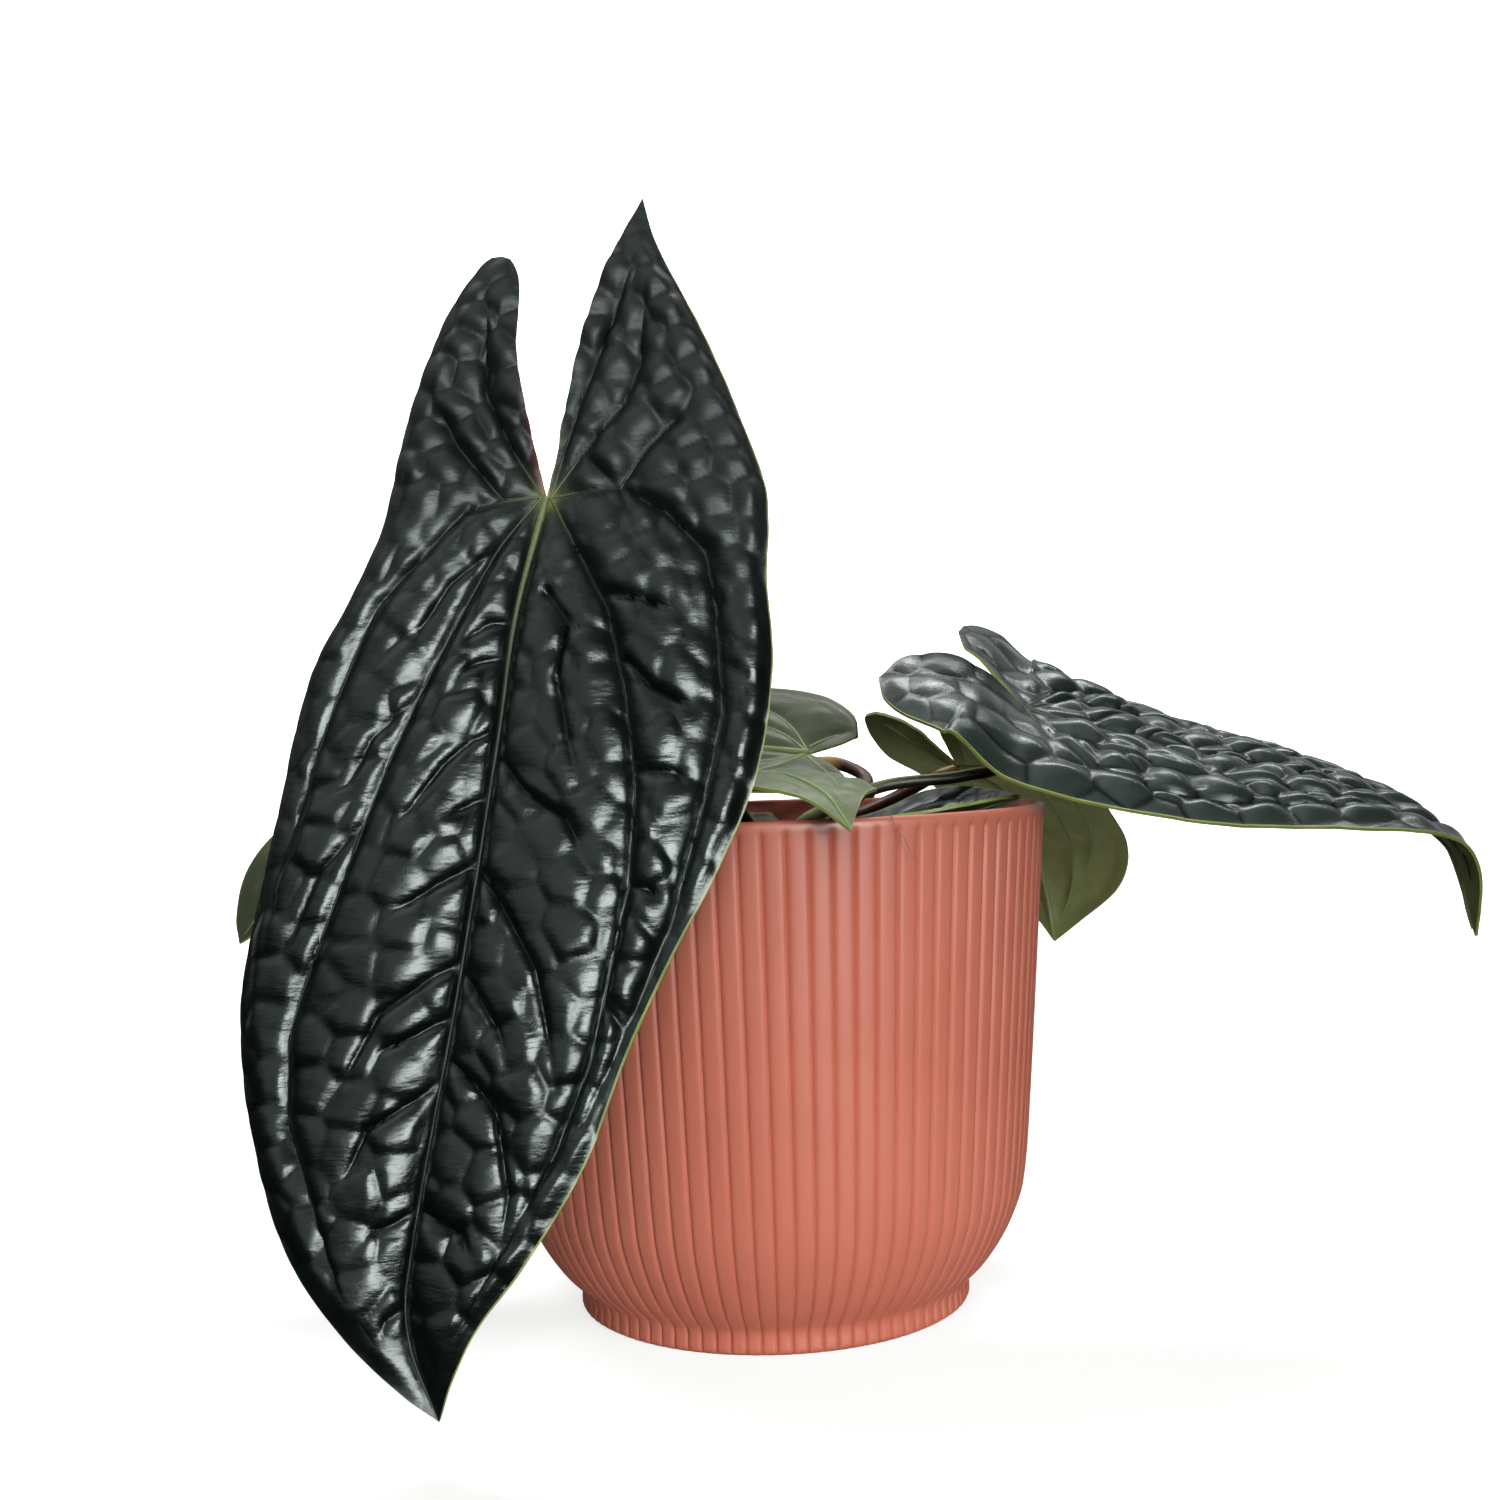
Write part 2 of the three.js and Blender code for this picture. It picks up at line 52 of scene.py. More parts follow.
# Leaves: s runs along the midrib from the notch to the tip and t across it. A leaf has its outline, its bend
# in space, the rows and columns of its mesh, and the size, height and reach of its blisters.
FRONT_LEAF = {
    "name": "front_leaf",
    "mid": [[0, 0], [28, -2], [54, -1], [106, 0], [170, 0], [182, 3], [195, 11]],
    "left_inner": [[-54, -19], [-53.4, -17], [-49, -14.4], [-40, -13], [-31, -12], [-16, -7], [0, 0]],
    "left_outer": [[-54, -19], [-53.4, -21], [-50, -23.6], [-36, -29], [-12, -33], [13, -34], [29, -38],
                   [48, -44], [80, -45.5], [115, -46], [132, -42], [149, -35], [168, -24], [182, -10],
                   [191, 3], [195, 11]],
    "right_inner": [[-74, 10], [-58, 5.5], [-42, 2.5], [-25, 1.2], [-10, 0.8], [0, 0]],
    "right_outer": [[-74, 10], [-63, 15], [-41, 30], [-24, 40], [-8, 48], [12, 51], [31, 55], [55, 55],
                    [76, 50], [97, 43], [118, 37], [141, 32], [163, 23], [176, 16], [187, 12.5], [195, 11]],
    "spine": [[-74, -32, -54, 269], [-40, -38, -58.5, 236.5], [0, -45, -66, 198], [95, -61.6, -88, 106.5],
              [195, -79, -106, 10.5]],
    "across": [[-74, 0.984, 0.05, -0.179], [0, 0.984, 0, -0.179], [195, 0.984, -0.05, -0.179]],
    "bend": [[-74, 10, -0.6, 6, -0.3], [0, 12, -0.7, 8, -0.3], [195, 14, -0.9, 8, -0.4]],
    "sweep": 10,
    "rows": (84, 236),
    "columns": 68,
    "cell": ((11, 8, 46), (10.5, 8.5, 82)),
    "cobbles": (8, 1.9, 4),
    "heights": (1.9, 1.0, 0.75),
    "widths": (14, 4.5, 7, 3.0),
    "soft": 2,
    "star": 1,
    "pale_margins": (1,),
    "main": [
        [[0, 1], [10, 8], [24, 18], [43, 25], [62, 30], [83, 32], [100, 31], [120, 30], [139, 26], [157, 20],
         [176, 13]],
        [[0, 1], [-4, 16], [0, 27], [8, 37], [20, 41], [43, 46], [62, 45], [90, 42], [110, 37], [132, 31],
         [149, 24]],
        [[0, 1], [-10, 6], [-24, 14], [-33, 16], [-50, 15]],
        [[-4, 16], [-15, 21], [-26, 29]],
        [[0, 1], [-16, 3], [-38, 7], [-57, 11]],
        [[0, -1], [3, -9], [7, -17], [18, -24], [31, -32], [47, -36], [63, -39], [86, -41], [105, -41]],
        [[0, -1], [13, -8], [28, -13], [45, -18], [65, -23], [86, -27], [108, -31], [124, -33], [141, -30],
         [154, -22], [169, -14]],
        [[0, -1], [-9, -9], [-21, -17], [-38, -19]],
        [[3, -9], [-8, -21], [-17, -27]],
    ],
    "sides": [
        [[30, -3], [31, -7], [35, -11], [40, -15]],
        [[38, -3], [40, -8], [43, -11], [53, -15]],
        [[53, -1], [58, -7], [63, -11], [69, -14], [84, -21], [96, -29]],
        [[68, -1], [72, -6], [75, -11]],
        [[82, 0], [86, -5], [94, -14], [101, -20]],
        [[103, 0], [109, -7], [117, -15], [137, -21], [145, -25]],
        [[115, 0], [119, -6], [124, -13], [137, -17]],
        [[128, 0], [134, -6], [140, -13], [152, -16], [160, -19]],
        [[154, 0], [158, -5], [160, -9], [168, -13]],
        [[173, 1], [177, -3], [183, -5]],
        [[14, -9], [24, -17], [34, -21], [45, -32]],
        [[50, -20], [60, -27], [70, -30], [78, -40]],
        [[78, -26], [90, -33], [104, -36], [116, -44]],
        [[22, 4], [28, 10], [41, 10], [53, 14], [65, 19], [71, 17]],
        [[59, 0], [66, 7], [71, 17], [77, 21], [87, 30]],
        [[85, 1], [91, 7], [103, 16], [114, 20], [127, 24], [133, 26]],
        [[105, 1], [112, 7], [117, 11], [130, 16]],
        [[124, 2], [128, 8], [133, 13], [149, 18], [159, 18], [163, 15]],
        [[154, 0], [158, 10], [164, 14]],
        [[21, 18], [21, 24], [22, 30], [28, 42]],
        [[35, 24], [40, 30], [43, 39], [37, 44]],
        [[59, 29], [58, 38], [62, 44]],
        [[83, 32], [83, 36], [87, 43]],
        [[108, 31], [112, 35], [116, 37]],
        [[-10, 8], [-5, 15], [3, 19], [11, 23]],
    ],
    "seed": 3,
}

RIGHT_LEAF = {
    "name": "right_leaf",
    "mid": [[0, 0], [70, 0], [140, 0]],
    "left_inner": [[-41, -21], [-36, -12], [-24, -6], [-10, -3], [0, 0]],
    "left_outer": [[-41, -21], [-38, -30], [-28, -37], [-10, -41], [15, -41], [45, -38], [75, -31],
                   [100, -22], [122, -11], [134, -4], [140, 0]],
    "right_inner": [[-23, 24], [-20, 13], [-14, 6], [-7, 2], [0, 0]],
    "right_outer": [[-23, 24], [-22.5, 29], [-17, 35], [-4, 40], [15, 41], [45, 39], [75, 32], [100, 22],
                    [122, 11], [134, 4], [140, 0]],
    "spine": [[-41, 35, 4, 164.5], [-25, 48, 2, 162], [-12, 58, 1, 157], [0, 69, 0, 148.5],
              [40, 107, -3, 136.5], [80, 145, -7, 126], [112, 172, -11, 112], [140, 178, -15, 88]],
    "across": [[-41, 0.1, 0.88, 0.45], [0, 0.1, 0.92, 0.38], [80, 0.1, 0.95, 0.26], [140, 0.1, 0.98, 0.1]],
    "bend": [[-41, 14, -0.8, -6, 0], [-12, 8, -0.6, 2, 0], [20, 4, -0.5, 6, -0.5], [80, 4, -0.6, 6, -0.7],
             [140, 20, -0.9, 12, -0.8]],
    "sweep": 8,
    "rows": (52, 176),
    "columns": 52,
    "cell": ((14, 12, 40),) * 2,
    "lips": {-1: (2.5, 4), 1: (1.5, 2.5)},
    "margin": (9, 0.08),
    "heights": (0.6, 0.7, 2.2),
    "widths": (10, 10, 6, 6),
    "soft": 2,
    "calm": 0.3,
    "star": 0.12,
    "spacing": 19,
    "seed": 11,
}

BACK_LEAF = {
    "name": "back_leaf",
    "mid": [[0, 0], [75, 0]],
    "left_inner": [[-27, -12], [-18, -5], [-8, -2], [0, 0]],
    "left_outer": [[-27, -12], [-24, -19], [-10, -26], [10, -28], [30, -29], [46, -30], [60, -23], [70, -8],
                   [75, 0]],
    "right_inner": [[-27, 12], [-18, 5], [-8, 2], [0, 0]],
    "right_outer": [[-27, 12], [-24, 19], [-10, 26], [10, 29], [30, 28], [45, 23], [60, 13], [70, 4],
                    [75, 0]],
    "spine": [[-27, 41, 35, 148], [0, 57, 50, 134], [20, 71, 63, 126], [42, 81, 74, 110], [60, 86, 79, 94],
              [75, 88, 80, 79]],
    "across": [[-27, -0.7, 0.7, 0], [20, -0.7, 0.7, 0], [75, -0.75, 0.65, 0]],
    "bend": [[-27, 12, -0.4, 12, -0.4], [75, 8, -0.2, 8, -0.2]],
    "sweep": 8,
    "rows": (30, 84),
    "columns": 32,
    "cell": ((8, 6, 40),) * 2,
    "heights": (0.8, 0.7, 0.3),
    "widths": (7, 7, 5, 2.6),
    "soft": 3,
    "star": 0.3,
    "spacing": 13,
    "seed": 21,
}

LEFT_LEAF = {
    "name": "left_leaf",
    "mid": [[0, 0], [176, 0]],
    "left_inner": [[-13, -9], [-9, -5], [0, 0]],
    "left_outer": [[-13, -9], [-11, -17], [0, -25], [20, -29], [60, -29], [100, -26], [135, -20], [160, -13],
                   [172, -5], [176, 0]],
    "right_inner": [[-13, 11], [-9, 7], [0, 0]],
    "right_outer": [[-13, 11], [-11, 16], [0, 21], [20, 26], [60, 27], [100, 23], [135, 15], [160, 8],
                    [172, 3], [176, 0]],
    "spine": [[-13, 26, 34, 136.5], [0, 14, 36, 138.5], [40, -25, 44, 142.5], [88, -70, 50, 138],
              [132, -111, 45, 122], [154, -131, 40, 111], [176, -146, 35, 91]],
    "across": [[-13, 0.1, -0.8, -0.6], [20, 0.1, -0.83, -0.5], [70, 0.1, -0.98, -0.12],
               [132, 0.35, -0.85, -0.35], [176, 0.7, -0.5, -0.5]],
    "bend": [[-13, 8, -0.3, 8, -0.3], [176, 12, -0.5, 12, -0.5]],
    "sweep": 8,
    "rows": (16, 170),
    "columns": 30,
    "cell": ((9, 6.5, 40),) * 2,
    "heights": (0.8, 0.7, 0.3),
    "widths": (8, 8, 5, 2.6),
    "soft": 3,
    "star": 0.3,
    "spacing": 17,
    "seed": 31,
}

SMALL_FRONT_LEAF = {
    "name": "small_front_leaf",
    "mid": [[0, 0], [62, 0]],
    "left_inner": [[-12, -8], [-8, -4], [0, 0]],
    "left_outer": [[-12, -8], [-10, -13], [0, -17], [12, -19], [28, -17], [42, -11], [54, -4], [62, 0]],
    "right_inner": [[-12, 8], [-8, 4], [0, 0]],
    "right_outer": [[-12, 8], [-10, 13], [0, 20], [12, 25], [28, 27], [42, 20], [54, 7], [62, 0]],
    "spine": [[-12, -12, -24, 130.5], [0, -8, -33, 132.5], [30, 4, -60, 134.8], [50, 14, -77, 130.5],
              [62, 19, -85, 123]],
    "across": [[-12, 0.9, 0.4, 0], [62, 0.9, 0.4, 0]],
    "bend": [[-12, 6, -1.2, 6, -1.2], [62, 6, -2, 4, -1.6]],
    "sweep": 5,
    "rows": (16, 76),
    "columns": 30,
    "cell": ((6, 4.5, 40),) * 2,
    "heights": (0.5, 0.45, 0.3),
    "widths": (6, 6, 4, 2),
    "soft": 2,
    "star": 0.3,
    "spacing": 9,
    "seed": 41,
}

LOW_LEAF = {
    "name": "low_leaf",
    "mid": [[0, 0], [44, 0]],
    "left_inner": [[-10, -7], [-6, -3], [0, 0]],
    "left_outer": [[-10, -7], [-8, -14], [2, -20], [14, -22], [28, -18], [38, -8], [44, 0]],
    "right_inner": [[-10, 7], [-6, 3], [0, 0]],
    "right_outer": [[-10, 7], [-8, 13], [2, 18], [14, 20], [28, 16], [38, 7], [44, 0]],
    "spine": [[-10, 15, -8, 118], [0, 24, -10, 118.5], [14, 38, -14, 119.5], [28, 51, -18, 122],
              [44, 64, -22, 127]],
    "across": [[-10, 0.28, 0.95, 0], [44, 0.3, 0.95, 0]],
    "bend": [[-10, 6, 0, 8, 0], [2, 8, 0, 12, 0.1], [16, 10, 0, 24, 0.1], [44, 12, -0.3, 26, 0.1]],
    "sweep": 4,
    "rows": (14, 54),
    "columns": 26,
    "cell": ((7, 5, 40),) * 2,
    "heights": (0.25, 0.1, 0.05),
    "widths": (5, 5, 3, 2.4),
    "soft": 2,
    "star": 0.1,
    "spacing": 10,
    "seed": 51,
}

# Stalks: the compass angle and height where each leaves the stem, and the points it passes through
STALKS = [
    ("front_leaf", 215, 118, [[-11, -9, 121], [-24, -34, 148], [-38, -53, 178], [-45.5, -63.7, 195.9]]),
    ("right_leaf", -12, 119.5, [[13, -3.2, 122.5], [31, -4.5, 130], [52, -2.5, 132], [64, -1, 135],
                                [69.4, 0.2, 146.3]]),
    ("back_leaf", 62, 119, [[8.5, 12.5, 119.3], [24, 25, 121], [42, 39, 127.5], [50, 45, 131],
                            [55.4, 48.9, 131.8]]),
    ("left_leaf", 28, 115, [[13, 8, 119], [27, 17, 127.5], [29, 29, 132], [22, 35.2, 135.6],
                            [15.8, 36.4, 135.4]]),
    ("small_front_leaf", -85, 115.5, [[-0.5, -13, 118], [-5, -23, 125.4], [-8, -31, 129.4]]),
    ("low_leaf", -32, 115, [[13, -7.6, 115.4], [22.6, -10, 115.3]]),
]


def lengths(points):
    """How far each point lies along the line through all of them."""
    return np.concatenate([[0], np.cumsum(np.linalg.norm(np.diff(points, axis=0), axis=1))])


def unit(vectors):
    return vectors / np.maximum(np.linalg.norm(vectors, axis=-1, keepdims=True), 1e-9)


def through(rows, x):
    """The smooth curve through [x, a, b, ...] rows, one row of values for each x."""
    rows = np.array(rows, float)
    x = np.atleast_1d(np.asarray(x, float))
    last = len(rows) - 1
    i = np.searchsorted(rows[1:last, 0], x)
    low, high = rows[i], rows[i + 1]
    before, after = rows[np.maximum(i - 1, 0)], rows[np.minimum(i + 2, last)]
    width = high[:, :1] - low[:, :1]
    f = (x[:, None] - low[:, :1]) / width
    rise = high - low
    a = (high - before) / (high[:, :1] - before[:, :1]) * width - rise
    b = rise - (after - low) / (after[:, :1] - low[:, :1]) * width
    return (low + rise * f + f * (1 - f) * (a * (1 - f) + b * f))[:, 1:]


def place(leaf, s, t, height):
    """Points of the flat leaf in space, raised by height off the upper face."""
    origin = through(leaf["spine"], s)
    along = unit(through(leaf["spine"], s + 1) - origin)
    side = through(leaf["across"], s)
    side = unit(side - np.sum(side * along, axis=1, keepdims=True) * along)
    up = np.cross(along, side)
    middle = np.where(s > 0, through(leaf["mid"], s)[:, 0], 0)
    distance = np.abs(t - middle)
    hand = np.where(t < middle, -1.0, 1.0)
    bend = np.radians(through(leaf["bend"], s))
    fold = np.where(hand < 0, bend[:, 0], bend[:, 2])
    curl = np.where(hand < 0, bend[:, 1], bend[:, 3])
    curl = np.where(np.abs(curl) < 1e-6, 1e-6, curl)
    turn = fold + curl * distance
    outward = (np.sin(turn) - np.sin(fold)) / curl
    upward = (np.cos(fold) - np.cos(turn)) / curl
    shift = middle + hand * (outward - height * np.sin(turn))
    return origin + side * shift[:, None] + up * (upward + height * np.cos(turn))[:, None]


def make(name, points, faces, slots, face_slots=None, sharp=80):
    """A smooth mesh from points in millimetres; face_slots gives each face its material's number."""
    mesh = bpy.data.meshes.new(name)
    mesh.from_pydata((np.asarray(points) * MM).tolist(), [], faces)
    for slot in slots:
        mesh.materials.append(slot)
    if face_slots is not None:
        mesh.polygons.foreach_set("material_index", np.asarray(face_slots, np.int32))
    mesh.polygons.foreach_set("use_smooth", np.ones(len(mesh.polygons), bool))
    mesh.set_sharp_from_angle(angle=math.radians(sharp))
    mesh.update()
    piece = bpy.data.objects.new(name, mesh)
    bpy.context.scene.collection.objects.link(piece)
    return piece


def paint(piece, values):
    """Stores a number for each point of the mesh under each name, for the materials to read."""
    for name, numbers in values.items():
        layer = piece.data.attributes.new(name, "FLOAT", "POINT")
        layer.data.foreach_set("value", np.asarray(numbers, np.float32))


def keep(piece, slot, *nodes):
    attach(piece, "root")
    if nodes:
        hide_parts(*nodes)


# Materials

def set_stops(band, stops):
    while len(band.elements) < len(stops):
        band.elements.new(0.5)
    for element, (position, color) in zip(band.elements, stops):
        element.position = position
        element.color = (*color, 1) if isinstance(color, tuple) else (color, color, color, 1)


def mixed(nodes, links, kind, factor, low, high):
    """A mix of two colours; each input is a colour, a number or the output of another node."""
    node = nodes.new("ShaderNodeMix")
    node.data_type = "RGBA"
    node.blend_type = kind
    sockets = (node.inputs["Factor"], node.inputs[6], node.inputs[7])
    for socket, source in zip(sockets, (factor, low, high)):
        if isinstance(source, tuple):
            socket.default_value = (*source, 1)
        elif isinstance(source, int):
            socket.default_value = source
        else:
            links.new(source, socket)
    return node.outputs[2]


class Finish:
    """A procedural material and short ways to wire it."""

    def __init__(self, name, roughness, **inputs):
        self.material = bpy.data.materials.new(name)
        self.material.use_nodes = True
        self.nodes = self.material.node_tree.nodes
        self.links = self.material.node_tree.links
        self.shader = self.nodes["Principled BSDF"]
        self.shader.inputs["Roughness"].default_value = roughness
        for key, value in inputs.items():
            self.shader.inputs[key.replace("_", " ")].default_value = value
        self.place = self.nodes.new("ShaderNodeTexCoord").outputs["Object"]

    def noise(self, size, detail=3.0, roughness=0.55, squash=None):
        """Noise whose lumps are about size millimetres across."""
        node = self.nodes.new("ShaderNodeTexNoise")
        node.inputs["Scale"].default_value = 0.6 / (size * MM)
        node.inputs["Detail"].default_value = detail
        node.inputs["Roughness"].default_value = roughness
        where = self.place
        if squash:
            stretch = self.nodes.new("ShaderNodeMapping")
            stretch.inputs["Scale"].default_value = squash
            self.links.new(where, stretch.inputs["Vector"])
            where = stretch.outputs["Vector"]
        self.links.new(where, node.inputs["Vector"])
        return node.outputs["Fac"]

    def cracks(self, size):
        """Distance from a fine net of lines about size millimetres apart."""
        node = self.nodes.new("ShaderNodeTexVoronoi")
        node.feature = "DISTANCE_TO_EDGE"
        node.inputs["Scale"].default_value = 1 / (size * MM)
        self.links.new(self.place, node.inputs["Vector"])
        return node.outputs["Distance"]

    def ramp(self, value, *stops):
        """Colours or greys along a value; each stop is (position, colour)."""
        node = self.nodes.new("ShaderNodeValToRGB")
        set_stops(node.color_ramp, stops)
        self.links.new(value, node.inputs["Fac"])
        return node.outputs["Color"]

    def patches(self, size, detail, *stops):
        return self.ramp(self.noise(size, detail), *stops)

    def blend(self, name, low, high):
        """low where the painted number of this name is 0 and high where it is 1."""
        node = self.nodes.new("ShaderNodeAttribute")
        node.attribute_name = name
        return mixed(self.nodes, self.links, "MIX", node.outputs["Fac"], low, high)

    def color(self, output):
        self.links.new(output, self.shader.inputs["Base Color"])

    def rough(self, output):
        self.links.new(output, self.shader.inputs["Roughness"])

    def bumps(self, *layers):
        """Bumps from (output, height in millimetres, strength), the coarsest first."""
        normal = None
        for output, height, strength in layers:
            node = self.nodes.new("ShaderNodeBump")
            node.inputs["Distance"].default_value = height * MM
            node.inputs["Strength"].default_value = strength
            self.links.new(output, node.inputs["Height"])
            if normal is not None:
                self.links.new(normal, node.inputs["Normal"])
            normal = node.outputs["Normal"]
        self.links.new(normal, self.shader.inputs["Normal"])


def dark_leaf_face(name, deep, pale, roughness, grain):
    finish = Finish(name, roughness, IOR=1.52, Specular_Tint=(0.88, 1, 0.94, 1))
    ground = finish.patches(14, 4, (0.35, deep), (0.7, pale))
    # Painted shade: the base colour turns near-black along the creases between blisters and along the veins.
    crease_shaded = finish.blend("crease_shade", ground, (0.002, 0.003, 0.0025))
    veined = finish.blend("vein", crease_shaded, (0.012, 0.02, 0.015))
    starred = finish.blend("star", veined, (0.36, 0.44, 0.09))
    finish.color(finish.blend("red", starred, (0.42, 0.03, 0.03)))
    gloss = finish.patches(5, 4, (0.3, roughness - 0.05), (0.75, roughness + 0.06))
    finish.rough(finish.blend("dull", gloss, (0.52, 0.52, 0.52)))
    # Painted shade on the gloss: the specular level drops in the same creases.
    shine = finish.blend("crease_shade", (0.5, 0.5, 0.5), (0.15, 0.15, 0.15))
    finish.links.new(shine, finish.shader.inputs["Specular IOR Level"])
    finish.bumps((finish.noise(3.2, 3, squash=(0.6, 1, 1.6)), 0.22 * grain, 0.6),
                 (finish.noise(1.5, 5, 0.6, squash=(0.5, 1, 1.7)), 0.17 * grain, 0.75))
    return finish.material


def green_leaf_face(name, ground_low, ground_high, vein, roughness):
    finish = Finish(name, roughness, IOR=1.45)
    ground = finish.patches(18, 4, (0.3, ground_low), (0.7, ground_high))
    veined = finish.blend("vein", ground, vein)
    finish.color(finish.blend("star", veined, (0.42, 0.5, 0.12)))
    finish.bumps((finish.cracks(1.8), 0.12, 0.5), (finish.noise(0.7, 4), 0.1, 0.5))
    return finish.material


def margin_face(name, low, high):
    finish = Finish(name, 0.4)
    ground = finish.patches(6, 3, (0.35, low), (0.7, high))
    finish.color(finish.blend("red", ground, (0.45, 0.03, 0.035)))
    return finish.material


def vein_face(name, dark, roughness=0.35):
    finish = Finish(name, roughness)
    ground = finish.patches(3, 3, (0.3, dark), (0.75, tuple(1.5 * value for value in dark)))
    finish.color(finish.blend("star", ground, (0.27, 0.31, 0.12)))
    finish.bumps((finish.noise(1.2, 3), 0.08, 0.4))
    return finish.material


DARK_UPPER = dark_leaf_face("dark leaf upper face", (0.0018, 0.0036, 0.0028), (0.0045, 0.008, 0.0058),
                            0.25, 1.0)
SLATE_UPPER = dark_leaf_face("slate leaf upper face", (0.017, 0.026, 0.021), (0.028, 0.04, 0.032), 0.28, 0.5)
DARK_LOWER = green_leaf_face("dark leaf under face", (0.05, 0.085, 0.025), (0.085, 0.13, 0.04),
                             (0.14, 0.2, 0.06), 0.5)
GREEN_UPPER = green_leaf_face("green leaf upper face", (0.027, 0.042, 0.011), (0.05, 0.07, 0.022),
                              (0.09, 0.12, 0.045), 0.42)
PALE_UPPER = green_leaf_face("pale leaf upper face", (0.095, 0.13, 0.05), (0.155, 0.195, 0.085),
                             (0.2, 0.245, 0.11), 0.42)
GREEN_LOWER = green_leaf_face("green leaf under face", (0.22, 0.29, 0.085), (0.31, 0.38, 0.14),
                              (0.36, 0.43, 0.18), 0.5)
DARK_MARGIN = margin_face("dark leaf margin", (0.2, 0.27, 0.05), (0.33, 0.4, 0.1))
GREEN_MARGIN = margin_face("green leaf margin", (0.25, 0.34, 0.08), (0.4, 0.48, 0.16))
DARK_VEIN = vein_face("dark leaf vein", (0.01, 0.017, 0.012), 0.5)
GREEN_VEIN = vein_face("green leaf vein", (0.2, 0.27, 0.11), 0.45)


# Leaves

def edge_of(leaf, part, hand):
    """The inner or outer outline of the left half (-1) or the right half (1)."""
    return leaf[("left_" if hand < 0 else "right_") + part]


def outer_edge(leaf, hand, s):
    return through(edge_of(leaf, "outer", hand), s)[:, 0]


def half_grid(leaf, hand):
    """Flat points of one half: rows from the lobe's tip to the leaf's tip, columns out to the margin."""
    inner = edge_of(leaf, "inner", hand)
    lobe, tip, sweep = inner[0][0], leaf["mid"][-1][0], leaf["sweep"]
    lobe_rows, body_rows = leaf["rows"]
    f = np.linspace(0, 1, lobe_rows + 1)
    g = np.linspace(0, 1, body_rows + 1)[1:]
    inner_s = np.concatenate([lobe * (1 - f), tip * g])
    outer_s = np.concatenate([lobe + (sweep - lobe) * f, sweep + (tip - sweep) * g ** 0.8])
    inner_t = np.concatenate([through(inner, lobe * (1 - f))[:, 0], through(leaf["mid"], tip * g)[:, 0]])
    outer_t = outer_edge(leaf, hand, outer_s)
    width = np.maximum(np.abs(outer_t - inner_t), 0.01)[:, None]
    rim = np.minimum(0.45 / width, 0.02)
    share = np.linspace(0, 1, leaf["columns"])[None, :] * (1 - rim)
    share = np.hstack([share, np.ones((len(share), 1))])
    s = inner_s[:, None] + (outer_s - inner_s)[:, None] * share
    t = inner_t[:, None] + (outer_t - inner_t)[:, None] * share
    return s, t, share, width


def main_veins(leaf):
    """The midrib and the long veins, as drawn for the leaf or else two in each half and one in each lobe."""
    midrib = [[s, float(through(leaf["mid"], s)[0, 0])] for s in np.linspace(0, leaf["mid"][-1][0], 60)]
    if "main" in leaf:
        return [midrib] + leaf["main"]
    tip = leaf["mid"][-1][0]
    veins = [midrib]
    for hand in (-1, 1):
        inner = edge_of(leaf, "inner", hand)
        for share, end in ((0.46, 0.9), (0.8, 0.72)):
            run = np.linspace(0, end, 24)
            spread = share * (1 - np.exp(-run * tip / 11)) * (1 - 0.35 * (run / end) ** 3)
            edge = outer_edge(leaf, hand, run * tip)
            veins.append(np.column_stack([run * tip, spread * edge]).tolist())
        lobe = inner[0][0]
        depth = np.linspace(0, 0.8, 8)
        notch = through(inner, depth * lobe)[:, 0]
        edge = outer_edge(leaf, hand, depth * lobe)
        veins.append(np.column_stack([depth * lobe, notch + (edge - notch) * (0.1 + 0.35 * depth)]).tolist())
    return veins


def ladder_veins(leaf, mains):
    """Side veins that leave each long vein and sweep towards the tip until they meet the next one."""
    tip = leaf["mid"][-1][0]
    rng = np.random.default_rng(leaf["seed"])
    lines = []
    for hand in (-1, 1):
        long_ones = [np.array(vein) for vein in mains[1:]
                     if hand * vein[-1][1] > 0 and vein[-1][0] > 0.4 * tip]
        long_ones.sort(key=lambda vein: abs(vein[len(vein) // 2, 1]))
        borders = [np.array(mains[0])] + long_ones
        for k, start in enumerate(borders[:2]):
            angle = (40, 54)[k]
            s = leaf["spacing"] * (0.8, 0.5)[k]
            stop = min(0.9 * tip, start[-1, 0])
            while s < stop:
                here = [s, float(np.interp(s, start[:, 0], start[:, 1]))]
                line = [list(here)]
                turn = math.radians(angle + rng.uniform(-9, 9))
                for _ in range(40):
                    here = [here[0] + 1.6 * math.cos(turn), here[1] + hand * 1.6 * math.sin(turn)]
                    line.append(list(here))
                    turn *= 0.985
                    limit = FAR
                    if k + 1 < len(borders) and here[0] <= borders[k + 1][-1, 0]:
                        goal = borders[k + 1]
                        limit = abs(float(np.interp(here[0], goal[:, 0], goal[:, 1])))
                    edge = abs(float(outer_edge(leaf, hand, min(here[0], tip))[0])) - 1.5
                    if abs(here[1]) > min(limit, edge):
                        break
                lines.append(line)
                s += leaf["spacing"] * (1, 0.8)[k] * rng.uniform(0.75, 1.25)
    return lines


